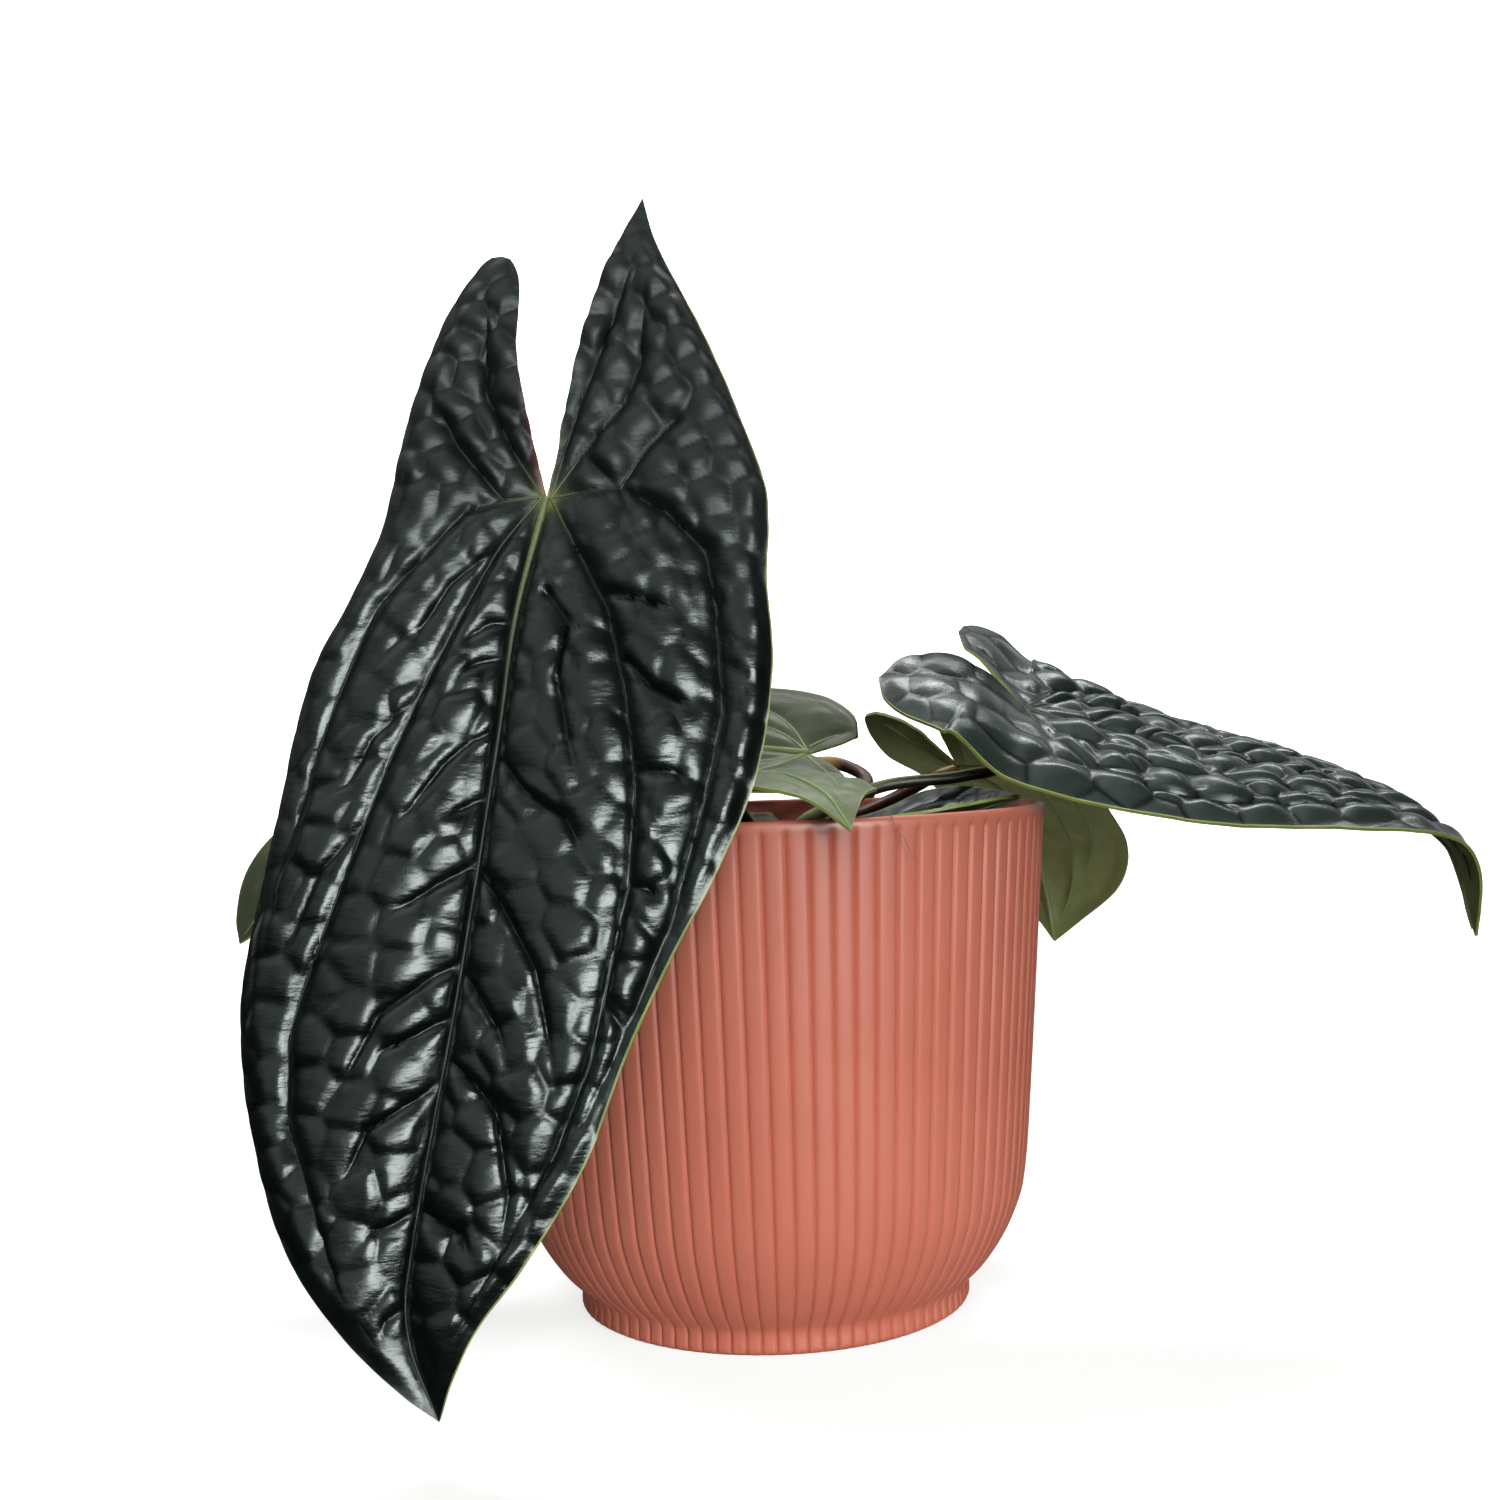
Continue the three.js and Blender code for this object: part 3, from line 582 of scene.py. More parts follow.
def distances_to(lines, points, taper=1):
    """Distances to the nearest line on each side of the points; a line fades out after its taper."""
    best = np.full((2, len(points)), FAR)
    for line in lines:
        line = np.array(line, float)
        for k, (a, b) in enumerate(zip(line[:-1], line[1:])):
            step = b - a
            f = np.clip(((points - a) @ step) / max(step @ step, 1e-9), 0, 1)
            gap = points - a - f[:, None] * step
            run = (k + f) / (len(line) - 1)
            fading = 5 * np.clip((run - taper) / max(1 - taper, 0.01), 0, 1) ** 2
            square = (np.sqrt(np.einsum("ij,ij->i", gap, gap)) + fading) ** 2
            beyond = (step[0] * gap[:, 1] - step[1] * gap[:, 0]) * np.sign(step[0]) > 0
            for side in (0, 1):
                best[side] = np.where(beyond == side, np.minimum(best[side], square), best[side])
    return np.sqrt(best)


def cells(points, hand, cell, seed):
    """Brick-like cells along the side veins: distance to the border, a size factor and a slope."""
    rng = np.random.default_rng(seed)
    size = cell[:2]
    angle = math.radians(cell[2])
    u_axis = np.array([math.cos(angle), hand * math.sin(angle)])
    v_axis = np.array([-math.sin(angle), hand * math.cos(angle)])
    low, high = points.min(axis=0) - 14, points.max(axis=0) + 14
    count = int(np.linalg.norm(high - low) / min(size) / 2) + 2
    i, j = np.meshgrid(np.arange(-count, count + 1), np.arange(-count, count + 1))
    u = (i + 0.5 * (j % 2) + rng.uniform(-0.24, 0.24, i.shape)) * size[0]
    v = (j + rng.uniform(-0.2, 0.2, i.shape)) * size[1]
    seeds = (low + high) / 2 + u.reshape(-1, 1) * u_axis + v.reshape(-1, 1) * v_axis
    seeds = seeds[np.all((seeds > low) & (seeds < high), axis=1)]
    between = np.linalg.norm(seeds[:, None] - seeds[None], axis=2)
    np.fill_diagonal(between, 1e-6)
    border = np.zeros(len(points))
    nearest = np.zeros(len(points), int)
    for start in range(0, len(points), 3000):
        part = points[start:start + 3000]
        square = ((part[:, None] - seeds[None]) ** 2).sum(axis=2)
        near = square.argmin(axis=1)
        row = np.arange(len(part))
        gap = (square - square[row, near][:, None]) / (2 * between[near])
        gap[row, near] = FAR
        border[start:start + 3000] = gap.min(axis=1)
        nearest[start:start + 3000] = near
    size_factor = rng.uniform(0.6, 1.25, len(seeds))[nearest]
    tilt = rng.uniform(-0.07, 0.07, (len(seeds), 2))[nearest]
    slope = np.sum((points - seeds[nearest]) * tilt, axis=1)
    return border, size_factor, slope


def pillow(gap, reach):
    """A parabola that rises from 0 at a vein to 1 at its reach."""
    return 1 - (1 - np.clip(gap / reach, 0, 1)) ** 2


def soften(height, shape, rounds):
    """Rounds off the creases of heights on their grid."""
    grid = height.reshape(shape)
    for _ in range(rounds):
        wide = np.pad(grid, 1, mode="edge")
        grid = (4 * grid + wide[:-2, 1:-1] + wide[2:, 1:-1] + wide[1:-1, :-2] + wide[1:-1, 2:]) / 8
    return grid.ravel()


def relief(leaf, hand, s, t, margin_gap, width, mains, sides):
    """Height of the blisters over the veins, and the distances that the colours use, the painted crease shade
    among them.
    """
    points = np.column_stack([s.ravel(), t.ravel()])
    along = points[:, 0]
    swelling = 0.9 * np.exp(-np.maximum(along, 0) / 60)
    to_midrib = np.maximum(distances_to(mains[:1], points) - swelling, 0)
    to_right, to_left = np.minimum(distances_to(mains[1:], points, 0.75), to_midrib)
    gap_main = np.minimum(to_right, to_left)
    gap_side = distances_to(sides, points, 0.5).min(axis=0)
    seed = leaf["seed"] + (hand > 0)
    border, size_factor, slope = cells(points, hand, leaf["cell"][int(hand > 0)], seed + 1)
    h_main, h_side, h_cell = leaf["heights"]
    w_right, w_left, w_side, w_cell = leaf["widths"]
    blocks = (h_cell * size_factor + slope) * pillow(border, w_cell)
    lower = np.ones(len(points))
    if "cobbles" in leaf:
        size, h_cobble, w_cobble = leaf["cobbles"]
        round_border, factor, slope = cells(points, hand, (size, size, 30), seed + 5)
        lower = np.clip((along + 5) / 40, 0, 1)
        blocks = blocks * lower + (1 - lower) * (h_cobble * factor + slope) * pillow(round_border, w_cobble)
        border = np.where(lower > 0.5, border + 1.4 - size_factor, round_border + 0.5)
    height = h_main * np.minimum(pillow(to_right, w_right), pillow(to_left, w_left))
    height = height + h_side * pillow(np.minimum(gap_main, gap_side), w_side) + blocks
    crisp = np.clip(2 * lower, 0, 1)
    height = crisp * soften(height, s.shape, leaf["soft"]) + (1 - crisp) * soften(height, s.shape, 3)
    height = height * (1 - 0.9 * np.exp(-(gap_main / 0.9) ** 2)) * (1 - 0.4 * np.exp(-(gap_side / 0.8) ** 2))
    band, least = leaf.get("margin", (5, 0.4))
    fade = np.clip(margin_gap / band, 0, 1)
    fade = (least + (1 - least) * fade * fade * (3 - 2 * fade)) * np.clip(width / 16, 0, 1)
    near_notch = np.clip(np.hypot(along, points[:, 1]) / 16, 0.1, 1)
    near_notch = near_notch * np.interp(along, [-8, 8], [leaf.get("calm", 1), 1])
    return height * fade * near_notch, gap_main, np.minimum(border, gap_side)


def raised_lip(leaf, flat):
    """Where a leaf has one, the notch's edge of a lobe stands up a little."""
    rise = np.zeros(len(flat["s"]))
    for hand, (height, width) in leaf.get("lips", {}).items():
        lobe = edge_of(leaf, "inner", hand)[0][0]
        run = np.clip(flat["s"] / lobe, 0, 1)
        window = np.sin(math.pi * np.clip(run * 1.08, 0, 1)) ** 0.6
        rise += np.where(flat["hand"] == hand, height * window * np.exp(-flat["inner"] / width), 0)
    return rise


def leaf_surface(leaf):
    """The middle surface of a blade: its veins, faces, faces along the margin, and numbers for each point."""
    mains = main_veins(leaf)
    sides = leaf["sides"] if "sides" in leaf else ladder_veins(leaf, mains)
    lobe_rows = leaf["rows"][0]
    grids = []
    for hand in (-1, 1):
        s, t, share, width = half_grid(leaf, hand)
        across = np.broadcast_to(width, s.shape)
        margin_gap = ((1 - share) * width).ravel()
        height, gap_main, border = relief(leaf, hand, s, t, margin_gap, across.ravel(), mains, sides)
        grids.append({"s": s.ravel(), "t": t.ravel(), "height": height, "gap": gap_main, "border": border,
                      "inner": (share * width).ravel(), "hand": np.full(s.size, hand)})
    rows, columns = s.shape
    number = np.arange(2 * rows * columns).reshape(2, rows, columns)
    number[:, 0, :] = number[:, 0, :1]
    number[1, lobe_rows:, 0] = number[0, lobe_rows:, 0]
    number[:, -1, :] = number[0, -1, 0]
    here, outward = number[:, :-1, :-1], number[:, :-1, 1:]
    onward, opposite = number[:, 1:, :-1], number[:, 1:, 1:]
    left = np.stack([here[0], outward[0], opposite[0], onward[0]], axis=-1)
    right = np.stack([here[1], onward[1], opposite[1], outward[1]], axis=-1)
    quads = np.concatenate([left.reshape(-1, 4), right.reshape(-1, 4)])
    edge = np.zeros((rows - 1, columns - 1), bool)
    edge[:, -1] = True
    pale = leaf.get("pale_margins", (-1, 1))
    edge = np.concatenate([edge.ravel() & (-1 in pale), edge.ravel() & (1 in pale)])
    used, flat = np.unique(quads, return_inverse=True)
    quads = flat.reshape(-1, 4)
    merged = {key: np.concatenate([grids[0][key], grids[1][key]])[used] for key in grids[0]}
    merged["points"] = place(leaf, merged["s"], merged["t"], merged["height"] + raised_lip(leaf, merged))
    return mains, quads, edge, merged


def normals_of(points, quads):
    face = np.cross(points[quads[:, 2]] - points[quads[:, 0]], points[quads[:, 3]] - points[quads[:, 1]])
    normals = np.zeros_like(points)
    for k in range(4):
        np.add.at(normals, quads[:, k], face)
    return unit(normals)


def whole_faces(quads):
    """Quads as lists, and triangles where two corners are the same point."""
    return [[corner for k, corner in enumerate(quad) if corner != quad[k - 1]] for quad in quads.tolist()]


def blade(leaf, upper_finish, lower_finish, margin_finish, vein_finish, slot):
    mains, quads, edge, flat = leaf_surface(leaf)
    points = flat["points"]
    normals = normals_of(points, quads)
    count = len(points)
    half = BLADE_THICKNESS / 2
    both = np.vstack([points + half * normals, points - half * normals])
    sides = np.concatenate([quads[:, [0, 1]], quads[:, [1, 2]], quads[:, [2, 3]], quads[:, [3, 0]]])
    sides = sides[sides[:, 0] != sides[:, 1]]
    codes = sides[:, 0] * count + sides[:, 1]
    open_sides = sides[~np.isin(codes, sides[:, 1] * count + sides[:, 0])]
    strip = np.column_stack([open_sides[:, ::-1], open_sides + count])
    upper = whole_faces(quads)
    lower = whole_faces(quads[:, ::-1] + count)
    faces = upper + lower + strip.tolist()
    rim_hand = flat["hand"][open_sides[:, 0]]
    rim = np.where(np.isin(rim_hand, leaf.get("pale_margins", (-1, 1))), 2, 0)
    slots = np.concatenate([np.where(edge, 2, 0), np.ones(len(lower), int), rim])
    finishes = [upper_finish, lower_finish, margin_finish]
    piece = make(leaf["name"] + "_fine_blade", both, faces, finishes, slots)
    notch = np.hypot(flat["s"], flat["t"])
    star = np.exp(-((notch / 2.2) ** 2)) + 0.6 * np.exp(-notch / 3.5) * np.exp(-flat["gap"] / 0.4)
    red = np.exp(-flat["inner"] / 0.5) * np.exp(flat["s"] / 9)
    red = np.where((flat["s"] < 0.5) & (flat["hand"] < 0), red, 0)
    values = {
        "vein": np.exp(-flat["gap"] / 0.4),
        "star": leaf["star"] * np.clip(star, 0, 1),
        "dull": np.interp(flat["s"], [-10, 35], [1, 0]) * ("cobbles" in leaf),
        # Painted shade: near 1 at the cell borders and the veins, where the dark faces darken their colour
        # and gloss.
        "crease_shade": np.exp(-(np.minimum(flat["border"], flat["gap"]) / 0.7) ** 2),
        "red": np.clip(1.3 * red, 0, 1) if "main" in leaf else np.zeros(count),
    }
    paint(piece, {name: np.tile(numbers, 2) for name, numbers in values.items()})
    keep(piece, slot, leaf["name"] + "_blade")
    keep(vein_cords(leaf, mains, vein_finish), slot)


def ring_faces(rows, sides):
    """The faces between rings of points, and the two faces that close the ends."""
    quads = []
    for row in range(rows - 1):
        for k in range(sides):
            a, b = row * sides + k, row * sides + (k + 1) % sides
            quads.append([a, b, b + sides, a + sides])
    return quads, [list(range(sides))[::-1], list(range((rows - 1) * sides, rows * sides))]


def tube(points, normals, radii, sides):
    """A round cord along points, closed at both ends: its points and faces."""
    along = unit(np.gradient(points, axis=0))
    first = unit(normals - np.sum(normals * along, axis=1, keepdims=True) * along)
    second = np.cross(along, first)
    turn = np.arange(sides) * 2 * math.pi / sides
    ring = np.cos(turn)[None, :, None] * first[:, None] + np.sin(turn)[None, :, None] * second[:, None]
    corners = (points[:, None] + np.asarray(radii)[:, None, None] * ring).reshape(-1, 3)
    quads, ends = ring_faces(len(points), sides)
    return corners, quads + ends


def vein_cords(leaf, mains, finish):
    """Thin raised cords along the long veins, on both faces."""
    all_points, all_faces, stars = [], [], []
    total = 0
    for k, vein in enumerate(mains):
        vein = np.array(vein, float)
        length = lengths(vein)
        steps = np.linspace(0, length[-1] * (0.985 if k == 0 else 1), max(int(length[-1] / 1.2), 6))
        path = through(np.column_stack([length, vein]), steps)
        middle = np.where(path[:, 0] > 0, through(leaf["mid"], path[:, 0])[:, 0], 0)
        if k == 0:
            path[:, 1] = middle
        for side in (1, -1):
            base = place(leaf, path[:, 0], path[:, 1], np.zeros(len(path)))
            lifted = place(leaf, path[:, 0], path[:, 1], np.ones(len(path)))
            normals = unit(lifted - base)
            if k == 0:
                reach = 0.3 + 0.6 * np.exp(-steps / 40)
            else:
                reach = 0.2 + 0.2 * np.exp(-steps / 20)
            reach = reach * (1.6 if side < 0 else 1) * np.clip((length[-1] - steps) / 12 + 0.35, 0, 1)
            reach = reach * min(1, leaf["mid"][-1][0] / 110 + 0.25)
            offset = side * (BLADE_THICKNESS / 2 + (0.25 if k == 0 else -0.1) * reach)
            corners, faces = tube(base + offset[:, None] * normals, normals, reach, 8)
            all_points.append(corners)
            all_faces += [[corner + total for corner in face] for face in faces]
            total += len(corners)
            reached = np.hypot(path[:, 0], path[:, 1])
            fade = leaf["star"] * (0.85 * np.exp(-(steps / 32) ** 2) if k == 0 else np.exp(-reached / 3.5))
            stars.append(np.repeat(fade if side > 0 else 0.35 + 0.5 * fade, 8))
    piece = make(leaf["name"] + "_veins", np.vstack(all_points), all_faces, [finish])
    paint(piece, {"star": np.clip(np.concatenate(stars), 0, 1)})
    return piece


blade(FRONT_LEAF, DARK_UPPER, DARK_LOWER, DARK_MARGIN, DARK_VEIN, "dark_leaf")
blade(RIGHT_LEAF, SLATE_UPPER, DARK_LOWER, DARK_MARGIN, DARK_VEIN, "dark_leaf")
blade(LOW_LEAF, SLATE_UPPER, DARK_LOWER, DARK_MARGIN, DARK_VEIN, "dark_leaf")
blade(BACK_LEAF, GREEN_UPPER, GREEN_LOWER, GREEN_MARGIN, GREEN_VEIN, "green_leaf")
blade(LEFT_LEAF, GREEN_UPPER, GREEN_LOWER, GREEN_MARGIN, GREEN_VEIN, "green_leaf")
blade(SMALL_FRONT_LEAF, PALE_UPPER, GREEN_LOWER, GREEN_MARGIN, GREEN_VEIN, "green_leaf")


# Stalks

def route_points(knots, count):
    """Even steps along the smooth curve through the knots, with centripetal spacing."""
    knots = np.array(knots, float)
    knots = np.vstack([2 * knots[0] - knots[1], knots, 2 * knots[-1] - knots[-2]])
    fine = []
    for k in range(1, len(knots) - 2):
        p0, p1, p2, p3 = knots[k - 1:k + 3]
        d0, d1, d2 = (math.sqrt(np.linalg.norm(b - a)) for a, b in ((p0, p1), (p1, p2), (p2, p3)))
        m1 = ((p1 - p0) / d0 - (p2 - p0) / (d0 + d1) + (p2 - p1) / d1) * d1
        m2 = ((p2 - p1) / d1 - (p3 - p1) / (d1 + d2) + (p3 - p2) / d2) * d1
        f = np.linspace(0, 1, 40, endpoint=False)[:, None]
        fine.append(p1 + m1 * f + (3 * (p2 - p1) - 2 * m1 - m2) * f ** 2 + (2 * (p1 - p2) + m1 + m2) * f ** 3)
    fine = np.vstack([*fine, knots[-2]])
    length = lengths(fine)
    steps = np.linspace(0, length[-1], count)
    return np.column_stack([np.interp(steps, length, fine[:, k]) for k in range(3)]), steps


def stalk_face(name, top, shade):
    finish = Finish(name, 0.4)
    streaks = finish.patches(3, 5, (0.35, shade), (0.62, top))
    # Painted shade: the underside of each stalk is darkened to a near-black brown.
    underside_shade = finish.blend("underside_shade", streaks, (0.018, 0.008, 0.004))
    finish.color(finish.blend("knee", underside_shade, (0.42, 0.26, 0.05)))
    finish.bumps((finish.noise(1.0, 4), 0.15, 0.5))
    return finish.material


GREEN_STALK = stalk_face("green leaf stalk", (0.15, 0.19, 0.05), (0.09, 0.1, 0.03))
RED_STALK = stalk_face("reddish leaf stalk", (0.12, 0.04, 0.02), (0.07, 0.02, 0.014))


def stalk(node, angle, height, route, finish):
    reach = STEM_RADIUS + 0.5
    foot = [reach * math.cos(math.radians(angle)), reach * math.sin(math.radians(angle)), height]
    step = [1.35 * foot[0], 1.35 * foot[1], height + 0.2]
    count, sides = 70, 20
    points, steps = route_points([foot, step, *route], count)
    length = steps[-1]
    radii = through([[0, 2.4], [min(16, 0.4 * length), 1.8], [length - 9, 1.8], [length, 2.3]], steps)[:, 0]
    along = unit(np.gradient(points, axis=0))
    up = np.array([0.0, 0.0, 1.0]) - along[:, 2:] * along
    up = unit(np.where(np.linalg.norm(up, axis=1, keepdims=True) < 0.25, np.array([0.0, -1.0, 0.4]), up))
    side = np.cross(along, up)
    turn = np.arange(sides) * 2 * math.pi / sides
    groove = 1 - 0.22 * np.exp(-((np.minimum(turn, 2 * math.pi - turn) / 0.42) ** 2))
    channel = np.clip((steps - 3) / 10, 0, 1) * np.clip((length - 4 - steps) / 8, 0, 1)
    reach = radii[:, None] * (1 + channel[:, None] * (groove - 1)[None])
    ring = np.cos(turn)[None, :, None] * up[:, None] + np.sin(turn)[None, :, None] * side[:, None]
    corners = (points[:, None] + reach[..., None] * ring).reshape(-1, 3)
    quads, ends = ring_faces(count, sides)
    piece = make(node + "_fine_stalk", corners, quads + ends, [finish], sharp=60)
    # Painted shade: 1 on the stalk's lower half, fading out before its top.
    underside_shade = np.clip(0.9 - 1.6 * np.cos(turn), 0, 1)[None] * np.ones((count, 1))
    knee = np.clip((steps - length + 9) / 4, 0, 1)[:, None] * np.ones((1, sides))
    paint(piece, {"underside_shade": underside_shade.ravel(), "knee": knee.ravel()})
    keep(piece, "petiole", node + "_petiole")


for node, angle, height, route in STALKS:
    stalk(node, angle, height, route, RED_STALK if node in ("left_leaf", "back_leaf") else GREEN_STALK)


# Pot

def lathe(name, profile, sides, finish, shape, sharp=50):
    """Rings of (radius, height, share) stacked between two closed ends; shape adds to radius and height."""
    turn = np.arange(sides) * 2 * math.pi / sides
    rings = []
    for row, (radius, z, share) in enumerate(profile):
        more, raised = shape(row, turn, radius, share)
        reach = np.full(sides, float(radius)) + more
        lift = np.full(sides, float(z)) + raised
        rings.append(np.column_stack([reach * np.cos(turn), reach * np.sin(turn), lift]))
    quads, ends = ring_faces(len(profile), sides)
    return make(name, np.vstack(rings), quads + ends, [finish], sharp=sharp)


def pot_face():
    finish = Finish("salmon pot plastic", 0.4, IOR=1.48)
    ground = finish.patches(30, 4, (0.3, (0.56, 0.16, 0.1)), (0.72, (0.63, 0.19, 0.122)))
    finish.color(ground)
    finish.rough(finish.patches(9, 5, (0.3, 0.36), (0.75, 0.46)))
    finish.bumps((finish.noise(2.5, 4), 0.06, 0.5), (finish.noise(0.5, 3), 0.02, 0.4))
    return finish.material


OUTSIDE = [[0, 48.9, 0.4], [1.2, 49.8, 1], [5.8, 50.0, 1], [10, 54.2, 1], [15, 58, 1], [21.5, 61.6, 1],
           [30, 64.5, 1], [50, 66.7, 1], [121.8, 72.4, 1]]
INSIDE = [[50, 64.1], [30, 61.7], [16.5, 55.4], [8.5, 51], [5.5, 47]]
levels = np.concatenate([np.linspace(0.6, 1.2, 2), np.linspace(1.9, 5.8, 4), np.linspace(6.4, 30, 20),
                         np.linspace(33, 121.2, 18)])
outside = [(radius, z, share) for z, (radius, share) in zip(levels, through(OUTSIDE, levels))]
LIP = [(72.45, 122.2, 0.6), (72.5, 122.8, 0), (72.5, 124.0, 0), (72.3, 124.6, 0), (71.9, 124.9, 0),
       (71.2, 125, 0), (70.5, 124.9, 0), (70.1, 124.5, 0), (69.9, 123.8, 0)]
inside = [(radius, z, 0) for z, radius in INSIDE]
pot_profile = [(20, 0.6, 0), (44, 0.6, 0), (46, 0, 0), (48.4, 0, 0.2), *outside, *LIP, *inside, (20, 5.5, 0)]


def ribs(row, turn, radius, share):
    """Convex ribs parted by narrow grooves; a rib's crest lies on the profile."""
    across = np.abs((turn * RIB_COUNT / (2 * math.pi) + 0.5) % 1 - 0.5) * 2
    return -RIB_DEPTH * share * (1 - np.sqrt(np.maximum(1 - across ** 3.6, 0))), 0.0


pot = lathe("fine_pot", pot_profile, 10 * RIB_COUNT, pot_face(), ribs, sharp=75)
keep(pot, "pot_plastic", "pot")


# Soil, stem and what lies loose

def soil_face(name, low, high, roughness=0.95):
    finish = Finish(name, roughness)
    finish.color(finish.patches(3, 6, (0.35, low), (0.7, high)))
    finish.bumps((finish.noise(2.2, 6), 1.0, 0.8), (finish.noise(0.6, 4), 0.4, 0.7))
    return finish.material


CRUMB = soil_face("soil crumbs", (0.008, 0.005, 0.003), (0.035, 0.022, 0.013))
BARK = soil_face("bark chips", (0.03, 0.014, 0.006), (0.1, 0.05, 0.022), 0.8)
PERLITE = soil_face("perlite", (0.38, 0.36, 0.31), (0.6, 0.58, 0.53), 0.85)

soil_rng = np.random.default_rng(8)
WAVES = soil_rng.uniform(-1, 1, (14, 2)) * 0.28
PHASES = soil_rng.uniform(0, 6.28, 14)


def soil_height(x, y):
    """Lumpy top of the soil, a little sunk at its edge."""
    total = sum(np.sin(wave[0] * x + wave[1] * y + phase) for wave, phase in zip(WAVES, PHASES))
    return SOIL_LEVEL + 0.32 * total - 0.4


soil_rings = [(48.9, 5.9, 0), (51, 9, 0), (55, 17, 0), (61.3, 30.4, 0), (63.7, 50.4, 0), (68.3, 109.6, 0)]
soil_rings += [(radius, 0, 1) for radius in np.linspace(67.8, 8.2, 62)]
soil_rings += [(7.4, 110.5, 0), (7.4, 104, 0)]


def lumps(row, turn, radius, share):
    if not share:
        return 0.0, 0.0
    x, y = radius * np.cos(turn), radius * np.sin(turn)
    grain = np.random.default_rng(row).uniform(-0.45, 0.45, len(turn))
    return 0.0, soil_height(x, y) + grain


soil = lathe("fine_soil", soil_rings, 220, CRUMB, lumps)
keep(soil, "soil", "soil")


def round_lump():
    """A small ball of 42 points and 80 faces."""
    ball = bmesh.new()
    bmesh.ops.create_icosphere(ball, subdivisions=2, radius=1)
    points = np.array([vertex.co[:] for vertex in ball.verts])
    faces = [[vertex.index for vertex in face.verts] for face in ball.faces]
    ball.free()
    return points, faces


BALL_POINTS, BALL_FACES = round_lump()


def scatter_lumps():
    points, faces, slots = [], [], []
    total = 0
    for k in range(LUMP_COUNT):
        radius = 66 * math.sqrt(soil_rng.uniform(0.02, 1))
        turn = soil_rng.uniform(0, 2 * math.pi)
        kind = 0 if k % 10 < 5 else (1 if k % 10 < 9 else 2)
        size = soil_rng.uniform(*((0.9, 2.0), (1.2, 3.2), (0.9, 1.9))[kind])
        shape = np.array(((1, 0.9, 0.8), (1.25, 0.7, 0.45), (1, 0.95, 0.85))[kind]) * size
        bumpy = 1 + soil_rng.uniform(-0.16, 0.16, (len(BALL_POINTS), 1))
        spin = np.array(Matrix.Rotation(soil_rng.uniform(0, 6.28), 3, "Z")
                        @ Matrix.Rotation(soil_rng.uniform(-0.6, 0.6), 3, "X"))
        body = (BALL_POINTS * bumpy * shape) @ spin.T
        x, y = radius * math.cos(turn), radius * math.sin(turn)
        body = body + [x, y, soil_height(x, y) + 0.35 * shape[2]]
        reach = np.hypot(body[:, 0], body[:, 1])
        if reach.max() > SOIL_RADIUS or reach.min() < STEM_RADIUS + 0.7:
            continue
        points.append(body)
        faces += [[corner + total for corner in face] for face in BALL_FACES]
        slots += [kind] * len(BALL_FACES)
        total += len(body)
    return make("soil_lumps", np.vstack(points), faces, [CRUMB, BARK, PERLITE], slots, sharp=40)


keep(scatter_lumps(), "soil")


def stem_face():
    finish = Finish("stem bark", 0.75)
    finish.color(finish.ramp(finish.noise(5, 6, squash=(1, 1, 2.5)), (0.3, (0.03, 0.02, 0.01)),
                             (0.55, (0.09, 0.07, 0.03)), (0.75, (0.12, 0.13, 0.045))))
    finish.bumps((finish.noise(2.5, 5, squash=(1, 1, 2)), 0.7, 0.7))
    return finish.material


stem_levels = np.linspace(96.5, 124, 46)
stem_radii = np.interp(stem_levels, [96.5, 104, 120.5, 124], [6.3, 6.9, 6.9, 3.2])
stem_profile = [(radius, z, 1) for radius, z in zip(stem_radii, stem_levels)]


def scars(row, turn, radius, share):
    z = stem_levels[row]
    ringed = -0.35 * np.exp(-(((z + 1.2 * np.sin(turn)) % 4.6 - 2.3) / 0.5) ** 2)
    return ringed - 0.25 + 0.2 * np.sin(3 * turn + 0.5 * z), 0.0


stem = lathe("fine_stem", stem_profile, 48, stem_face(), scars)
keep(stem, "stem_bark", "stem")


def fibre_face():
    finish = Finish("dry root fibre", 0.6)
    finish.color(finish.patches(1.5, 3, (0.3, (0.2, 0.09, 0.04)), (0.7, (0.4, 0.2, 0.1))))
    return finish.material


FIBRE = [[23, -56, 112], [26, -62, 121], [27, -65, 125.6], [28.4, -67.4, 126], [30, -67.8, 122.5],
         [32, -66.9, 119.5], [33.6, -66.6, 115]]
fibre_path = route_points(FIBRE, 60)[0]
fibre_normals = np.tile([0.0, -0.8, 0.6], (60, 1))
fibre_radii = 0.22 - 0.0022 * np.arange(60)
fibre = make("root_fibre", *tube(fibre_path, fibre_normals, fibre_radii, 8), [fibre_face()])
keep(fibre, "soil")


# Studio

def stage_face(name, color, glow):
    finish = Finish(name, 0.85, Emission_Color=(*color, 1), Emission_Strength=glow)
    darker = tuple(0.99 * value for value in color)
    finish.color(finish.patches(400, 2, (0.3, color), (0.7, darker)))
    return finish.material


PALE_FLOOR = stage_face("pale floor", (0.86, 0.86, 0.85), 0.66)


def strip_of(name, half_width, section, finish):
    """A sheet that follows a section of (y, z) points."""
    points = []
    for y, z in section:
        points += [[-half_width, y, z], [half_width, y, z]]
    faces = [[2 * k, 2 * k + 1, 2 * k + 3, 2 * k + 2] for k in range(len(section) - 1)]
    sheet = make(name, points, faces, [finish])
    sheet.visible_glossy = False
    return sheet


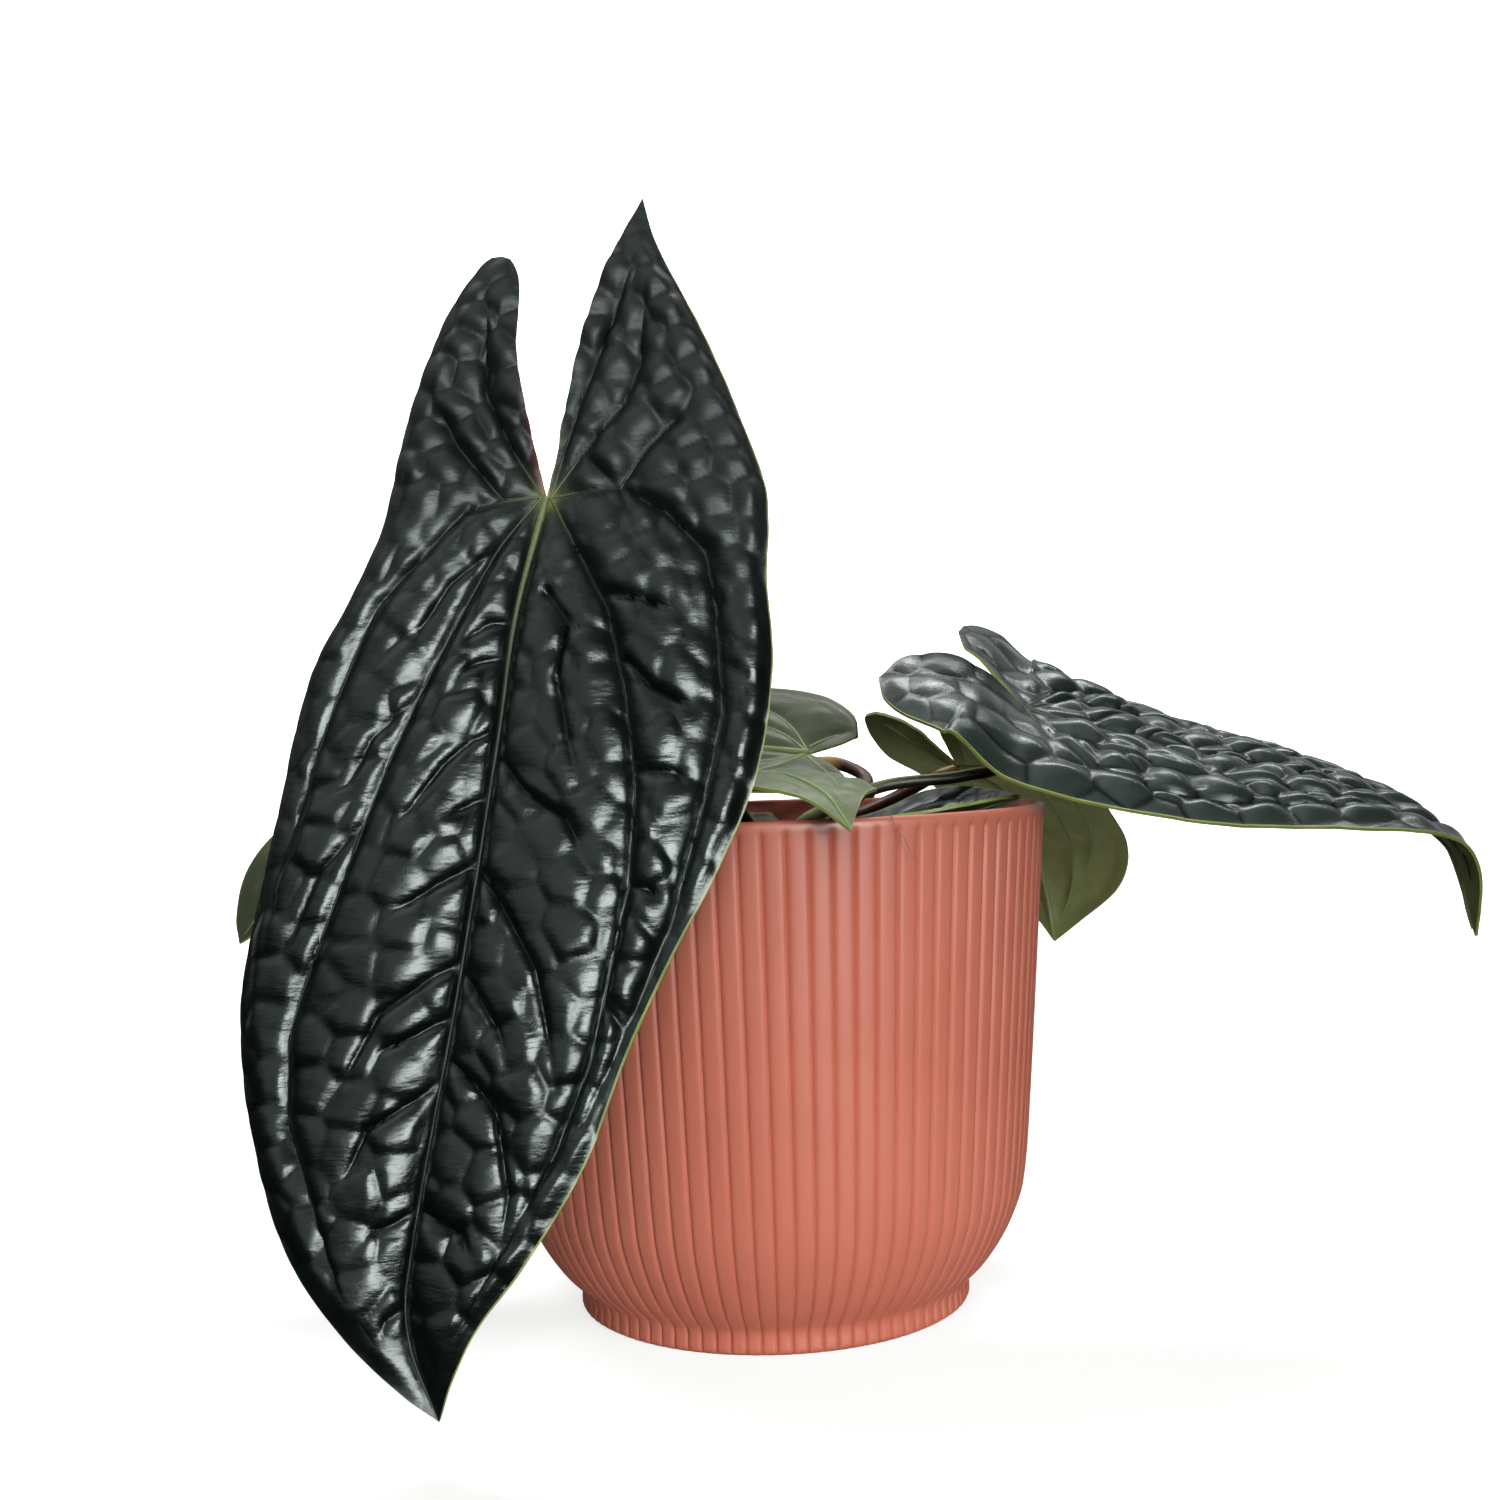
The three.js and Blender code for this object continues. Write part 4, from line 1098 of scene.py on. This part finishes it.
# The floor curves up into a wall far behind the plant; a small dim sheet on it stands in for its bounce
CURVE = 900
bend = [(2200 + CURVE * math.sin(a), CURVE - CURVE * math.cos(a)) for a in np.linspace(0, math.pi / 2, 24)]
floor_section = [(-4000, 0), (-1500, 0), (1200, 0), *bend, (2200 + CURVE, 4500)]
strip_of("floor", 6000, floor_section, PALE_FLOOR).visible_diffuse = False
bounce = strip_of("bounce", 190, [(-170, 0.05), (170, 0.05)], stage_face("bounce", (0.5, 0.5, 0.49), 0.35))
bounce.visible_camera = False
bounce.visible_shadow = False


def stand(name, data, matrix):
    thing = bpy.data.objects.new(name, data)
    bpy.context.scene.collection.objects.link(thing)
    thing.matrix_world = matrix
    return thing


def area_light(name, size, watts):
    light = bpy.data.lights.new(name, "AREA")
    light.shape = "RECTANGLE"
    light.size, light.size_y = size
    light.energy = watts
    return light


def aimed(light, azimuth, elevation, distance, target=(0, 0, 0.13)):
    """Stands a light off from the plant; azimuth 0 is behind the camera and 90 on the right."""
    a, e = math.radians(azimuth), math.radians(elevation)
    back = np.array([math.sin(a) * math.cos(e), -math.cos(a) * math.cos(e), math.sin(e)])
    right = unit(np.cross([0, 0, 1.0], back))
    up = np.cross(back, right)
    turn = Matrix([[right[k], up[k], back[k]] for k in range(3)]).to_4x4()
    return stand(light.name, light, Matrix.Translation(back * distance + np.array(target)) @ turn)


# The window and the glint only show as gloss; the key and the pot's own light only light
aimed(area_light("window_softbox", (0.7, 0.42), 18), 27, 4, 1.3).visible_diffuse = False
aimed(area_light("key_softbox", (0.8, 0.8), 7.5), 10, 28, 1.2).visible_glossy = False
aimed(area_light("glint_softbox", (0.3, 0.3), 1.5), 150, 58, 1.3).visible_diffuse = False
pot_light = bpy.data.lights.new("pot_light", "SPOT")
pot_light.energy = 62
pot_light.spot_size = math.radians(8.4)
pot_light.spot_blend = 1
pot_light.shadow_soft_size = 0.1
aimed(pot_light, 20, 8, 1.2, (0.02, 0, 0.035)).visible_glossy = False
aimed(area_light("top_softbox", (1.6, 1.3), 3), 10, 78, 1.7)
leaning = Matrix.Rotation(math.radians(48), 4, "X")
stand("wall_light", area_light("wall_light", (4, 0.8), 190), Matrix.Translation((0, 1.3, 2.6)) @ leaning)


def studio_world():
    """Soft studio surroundings for reflections: glows in front, at the upper left and along the wall."""
    world = bpy.data.worlds.new("studio")
    world.use_nodes = True
    nodes, links = world.node_tree.nodes, world.node_tree.links
    direction = nodes.new("ShaderNodeTexCoord").outputs["Generated"]

    def glow(axis, stops):
        facing = nodes.new("ShaderNodeVectorMath")
        facing.operation = "DOT_PRODUCT"
        facing.inputs[1].default_value = axis
        span = nodes.new("ShaderNodeMapRange")
        span.inputs["From Min"].default_value = -1
        span.inputs["From Max"].default_value = 1
        ramp = nodes.new("ShaderNodeValToRGB")
        ramp.color_ramp.interpolation = "EASE"
        set_stops(ramp.color_ramp, [(place, (0.96 * grey, 0.98 * grey, grey)) for place, grey in stops])
        links.new(direction, facing.inputs[0])
        links.new(facing.outputs["Value"], span.inputs["Value"])
        links.new(span.outputs["Result"], ramp.inputs["Fac"])
        return ramp.outputs["Color"]

    front = glow((0, -0.978, 0.208), ((0, 0.75), (0.18, 0.5), (0.36, 0.1), (0.5, 0.02), (0.78, 0.04),
                                      (0.9, 0.14), (0.98, 0.66)))
    upper_left = glow((-0.45, -0.35, 0.82), ((0.8, 0), (0.92, 0.35), (1, 1.1)))
    height = glow((0, 0, 1), ((0.44, 0.05), (0.56, 1)))
    both = mixed(nodes, links, "ADD", 1, front, upper_left)
    reflected = mixed(nodes, links, "MULTIPLY", 1, both, height)
    ray = nodes.new("ShaderNodeLightPath")
    ambient = mixed(nodes, links, "MIX", ray.outputs["Is Diffuse Ray"], reflected, (0.07, 0.07, 0.07))
    seen = mixed(nodes, links, "MIX", ray.outputs["Is Camera Ray"], ambient, (0.93, 0.93, 0.93))
    links.new(seen, nodes["Background"].inputs["Color"])
    return world


bpy.context.scene.world = studio_world()
bpy.context.scene.view_settings.view_transform = "Standard"

camera_data = bpy.data.cameras.new("camera")
camera_data.sensor_width = 36
camera_data.lens = 43.25
camera_data.clip_start = 0.01
camera = bpy.data.objects.new("camera", camera_data)
bpy.context.scene.collection.objects.link(camera)
aim = Matrix.Rotation(math.radians(0.254), 4, "Z") @ Matrix.Rotation(math.radians(90 - 0.286), 4, "X")
roll = Matrix.Rotation(math.radians(-1.9), 4, "Z")
camera.matrix_world = Matrix.Translation((0, -0.466, 0.1427)) @ aim @ roll
bpy.context.scene.camera = camera
